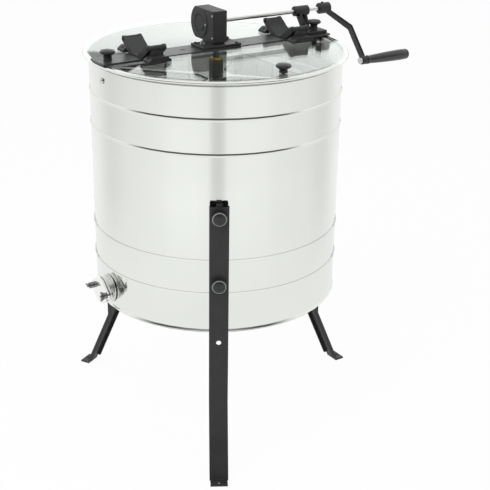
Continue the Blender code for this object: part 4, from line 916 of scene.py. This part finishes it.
def stand_turned(node, mesh, place, direction):
    """A turned mesh in a CAD node's place, with its Z axis along a direction."""
    return stand_for(in_scene(node + "_turned", mesh, along(place, direction)), node)


BAR_KNOB_OUT = 249
BAR_KNOB_STEM = 11
BAR_KNOB_TALL = 21
for side, word in ((-1, "left"), (1, "right")):
    node = "bar_knob_" + word
    low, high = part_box(node)
    stud = (high[2] - low[2]) / MM - BAR_KNOB_TALL
    mesh = knob_mesh(node + "_turned", BAR_KNOB_STEM, stud)
    place = at(side * BAR_KNOB_OUT, 0, high[2] / MM - BAR_KNOB_TALL)
    stand_turned(node, mesh, place, UP)

LID_KNOB_PLACE = (0, -245, 834.4)
lid_knob = knob_mesh("lid_knob_front_turned", stem=7, stud=3.3)
stand_turned("lid_knob_front", lid_knob, at(*LID_KNOB_PLACE), UP)

LEG_KNOB_OUT = 281.3
LEG_KNOB_HEIGHTS = (("upper", 565), ("lower", 421))
leg_knob = knob_mesh("leg_knob_turned", stem=6, stud=12.5, painted_ring=True)
for word, bearing in LEGS:
    out = towards(bearing, 0)
    for level, z in LEG_KNOB_HEIGHTS:
        place = at(out[0] * LEG_KNOB_OUT, out[1] * LEG_KNOB_OUT, z)
        stand_turned("leg_knob_%s_%s" % (word, level), leg_knob, place, out)

grip_mesh = turned_mesh("crank_grip_turned", GRIP, (in_mm(GRIP_PROFILE), KNOB_STEPS))
low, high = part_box("crank_grip")
grip_place = Vector((low[0], (low[1] + high[1]) / 2, (low[2] + high[2]) / 2))
stand_turned("crank_grip", grip_mesh, grip_place, (1, 0, 0))

plug_mesh = turned_mesh("basket_plug", YELLOW, (in_mm(PLUG_PROFILE), PLUG_STEPS))
plug = in_scene("basket_plug", plug_mesh, along(at(0, 0, 0), UP))
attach(plug, "basket")


# Floor, world and lamps
FLOOR_RADIUS = 30
# The paper's tone in mirrors by the bearing from the object, 0 towards the camera and 1 away from it
MIRRORED_PAPER = (
    (0.0, 0.68),
    (0.016, 0.72),
    (0.050, 0.97),
    (0.110, 1.0),
    (0.200, 0.99),
    (0.310, 0.92),
    (0.430, 0.88),
    (0.590, 0.79),
    (0.760, 0.95),
)
MIRRORED_TURN = math.radians(3.5)
MIRRORED_GAIN = 1.09
# It takes over between these distances from the tank's axis
MIRRORED_FROM = (0.95, 1.75)
# The share of plain white that each kind of ray sees in the paper, the rest being its lit surface
WHITE_SEEN = (("Is Camera Ray", 0.96), ("Is Glossy Ray", 0.80), ("Is Transmission Ray", 0.62))


def paper_material():
    """White paper that takes the object's shadow. In mirrors its tone follows MIRRORED_PAPER."""
    material, nodes, place = new_material("paper_floor")
    material.node_tree.nodes.remove(material.node_tree.nodes["Principled BSDF"])
    rays = nodes.add("LightPath").outputs
    x, y, _ = nodes.split(place)
    x = nodes.minus(x, AXIS_X)
    cosine, sine, _ = towards(AZIMUTH, 0)
    ahead = nodes.plus(nodes.times(x, -cosine), nodes.times(y, -sine))
    across = nodes.plus(nodes.times(x, sine), nodes.times(y, -cosine))
    bearing = nodes.minus(nodes.math("ARCTAN2", across, ahead), MIRRORED_TURN)
    bearing = nodes.divided(nodes.unsigned(bearing), math.pi)
    tone = nodes.times(nodes.ramp(bearing, *MIRRORED_PAPER, smooth=True), MIRRORED_GAIN)
    far = nodes.fade(nodes.length(ahead, across), *MIRRORED_FROM)
    far = nodes.times(far, rays["Is Glossy Ray"])
    near_tone = nodes.minus(1.0, nodes.times(rays["Is Glossy Ray"], 0.02))
    seen = 0.0
    for ray, share in WHITE_SEEN:
        seen = nodes.plus(seen, nodes.times(rays[ray], share))
    paper = nodes.add("BsdfDiffuse", {"Color": (0.86, 0.86, 0.86, 1)})
    strength = nodes.blend(far, near_tone, tone)
    white = nodes.add("Emission", {"Color": (1, 1, 1, 1), "Strength": strength})
    mixed = nodes.add("MixShader", {0: seen, 1: paper.outputs[0], 2: white.outputs[0]})
    surface = material.node_tree.nodes["Material Output"].inputs["Surface"]
    nodes.put(surface, mixed.outputs[0])
    return material


floor_shape = bmesh.new()
bmesh.ops.create_circle(floor_shape, cap_ends=True, radius=FLOOR_RADIUS, segments=64)
floor_mesh = bpy.data.meshes.new("floor")
floor_shape.to_mesh(floor_mesh)
floor_shape.free()
floor_mesh.materials.append(paper_material())
floor = in_scene("floor", floor_mesh)

# Patches of the surroundings are (azimuth, elevation, inner angle, outer angle) in degrees, and
# heights are sines of the elevation. The first is the bright screen behind the object.
SCREEN_PATCH = (56.8, 14, 32, 52)
SCREEN_HEIGHTS = ((0.10, 0.0), (0.17, 0.85), (0.30, 1.0), (0.42, 0.0))
SCREEN_TONE = (1.66, 1.70, 1.68)
# The dark room round the camera fades in over the first heights and out over the second
ROOM_PATCH = (-123.2, 0, 62, 88)
ROOM_START = (0.0, 0.06)
ROOM_END = (0.80, 0.62)
ROOM_TONE = (0.10, 0.10, 0.10)
WHITE = (1.0, 1.0, 1.0)
# The even light on the object, from the horizon to straight up
AMBIENT = ((0.0, 0.46), (1.0, 0.60))


def studio(world):
    """Mirrors see white, a bright screen behind the object and a dark room. The camera sees white."""
    world.use_nodes = True
    nodes = Nodes(world.node_tree)
    rays = nodes.add("LightPath").outputs
    direction = nodes.add("TexCoord").outputs["Generated"]
    height = nodes.split(direction)[2]

    def patch(azimuth, elevation, inner, outer):
        """1 within an angle of a direction, fading to 0 at a wider one."""
        facing = nodes.dot(direction, towards(azimuth, elevation))
        low, high = math.cos(math.radians(outer)), math.cos(math.radians(inner))
        return nodes.ramp(facing, (low, 0.0), (high, 1.0), smooth=True)

    screen = nodes.times(nodes.ramp(height, *SCREEN_HEIGHTS), patch(*SCREEN_PATCH))
    room = nodes.times(patch(*ROOM_PATCH), nodes.fade(height, *ROOM_START))
    room = nodes.times(room, nodes.fade(height, *ROOM_END))
    in_mirrors = nodes.blend(screen, nodes.blend(room, WHITE, ROOM_TONE), SCREEN_TONE)
    shown_tone = nodes.blend(rays["Is Camera Ray"], in_mirrors, WHITE)
    shown = nodes.larger(rays["Is Glossy Ray"], rays["Is Transmission Ray"])
    shown = nodes.larger(shown, rays["Is Camera Ray"])
    tone = nodes.blend(shown, nodes.ramp(height, *AMBIENT), shown_tone)
    nodes.put(world.node_tree.nodes["Background"].inputs["Color"], tone)


bpy.context.scene.world = bpy.data.worlds.new("studio")
studio(bpy.context.scene.world)

# Square softboxes: place, the point on the axis that each faces, side in metres and watts
LAMPS = {
    "key": ((-1700, -700, 2300), (0, 0, 500), 1.4, 30),
    "fill": ((1900, -1700, 1500), (0, 0, 450), 1.8, 5),
    "top": ((300, 700, 2900), (0, 0, 700), 2.2, 16),
}
for name, (place, target, side, watts) in LAMPS.items():
    data = bpy.data.lights.new(name, "AREA")
    data.shape = "SQUARE"
    data.size = side
    data.energy = watts
    lamp = in_scene(name, data)
    lamp.location = at(*place)
    lamp.rotation_euler = (at(*target) - at(*place)).to_track_quat("-Z", "Y").to_euler()
    lamp.visible_camera = False
    lamp.visible_glossy = False
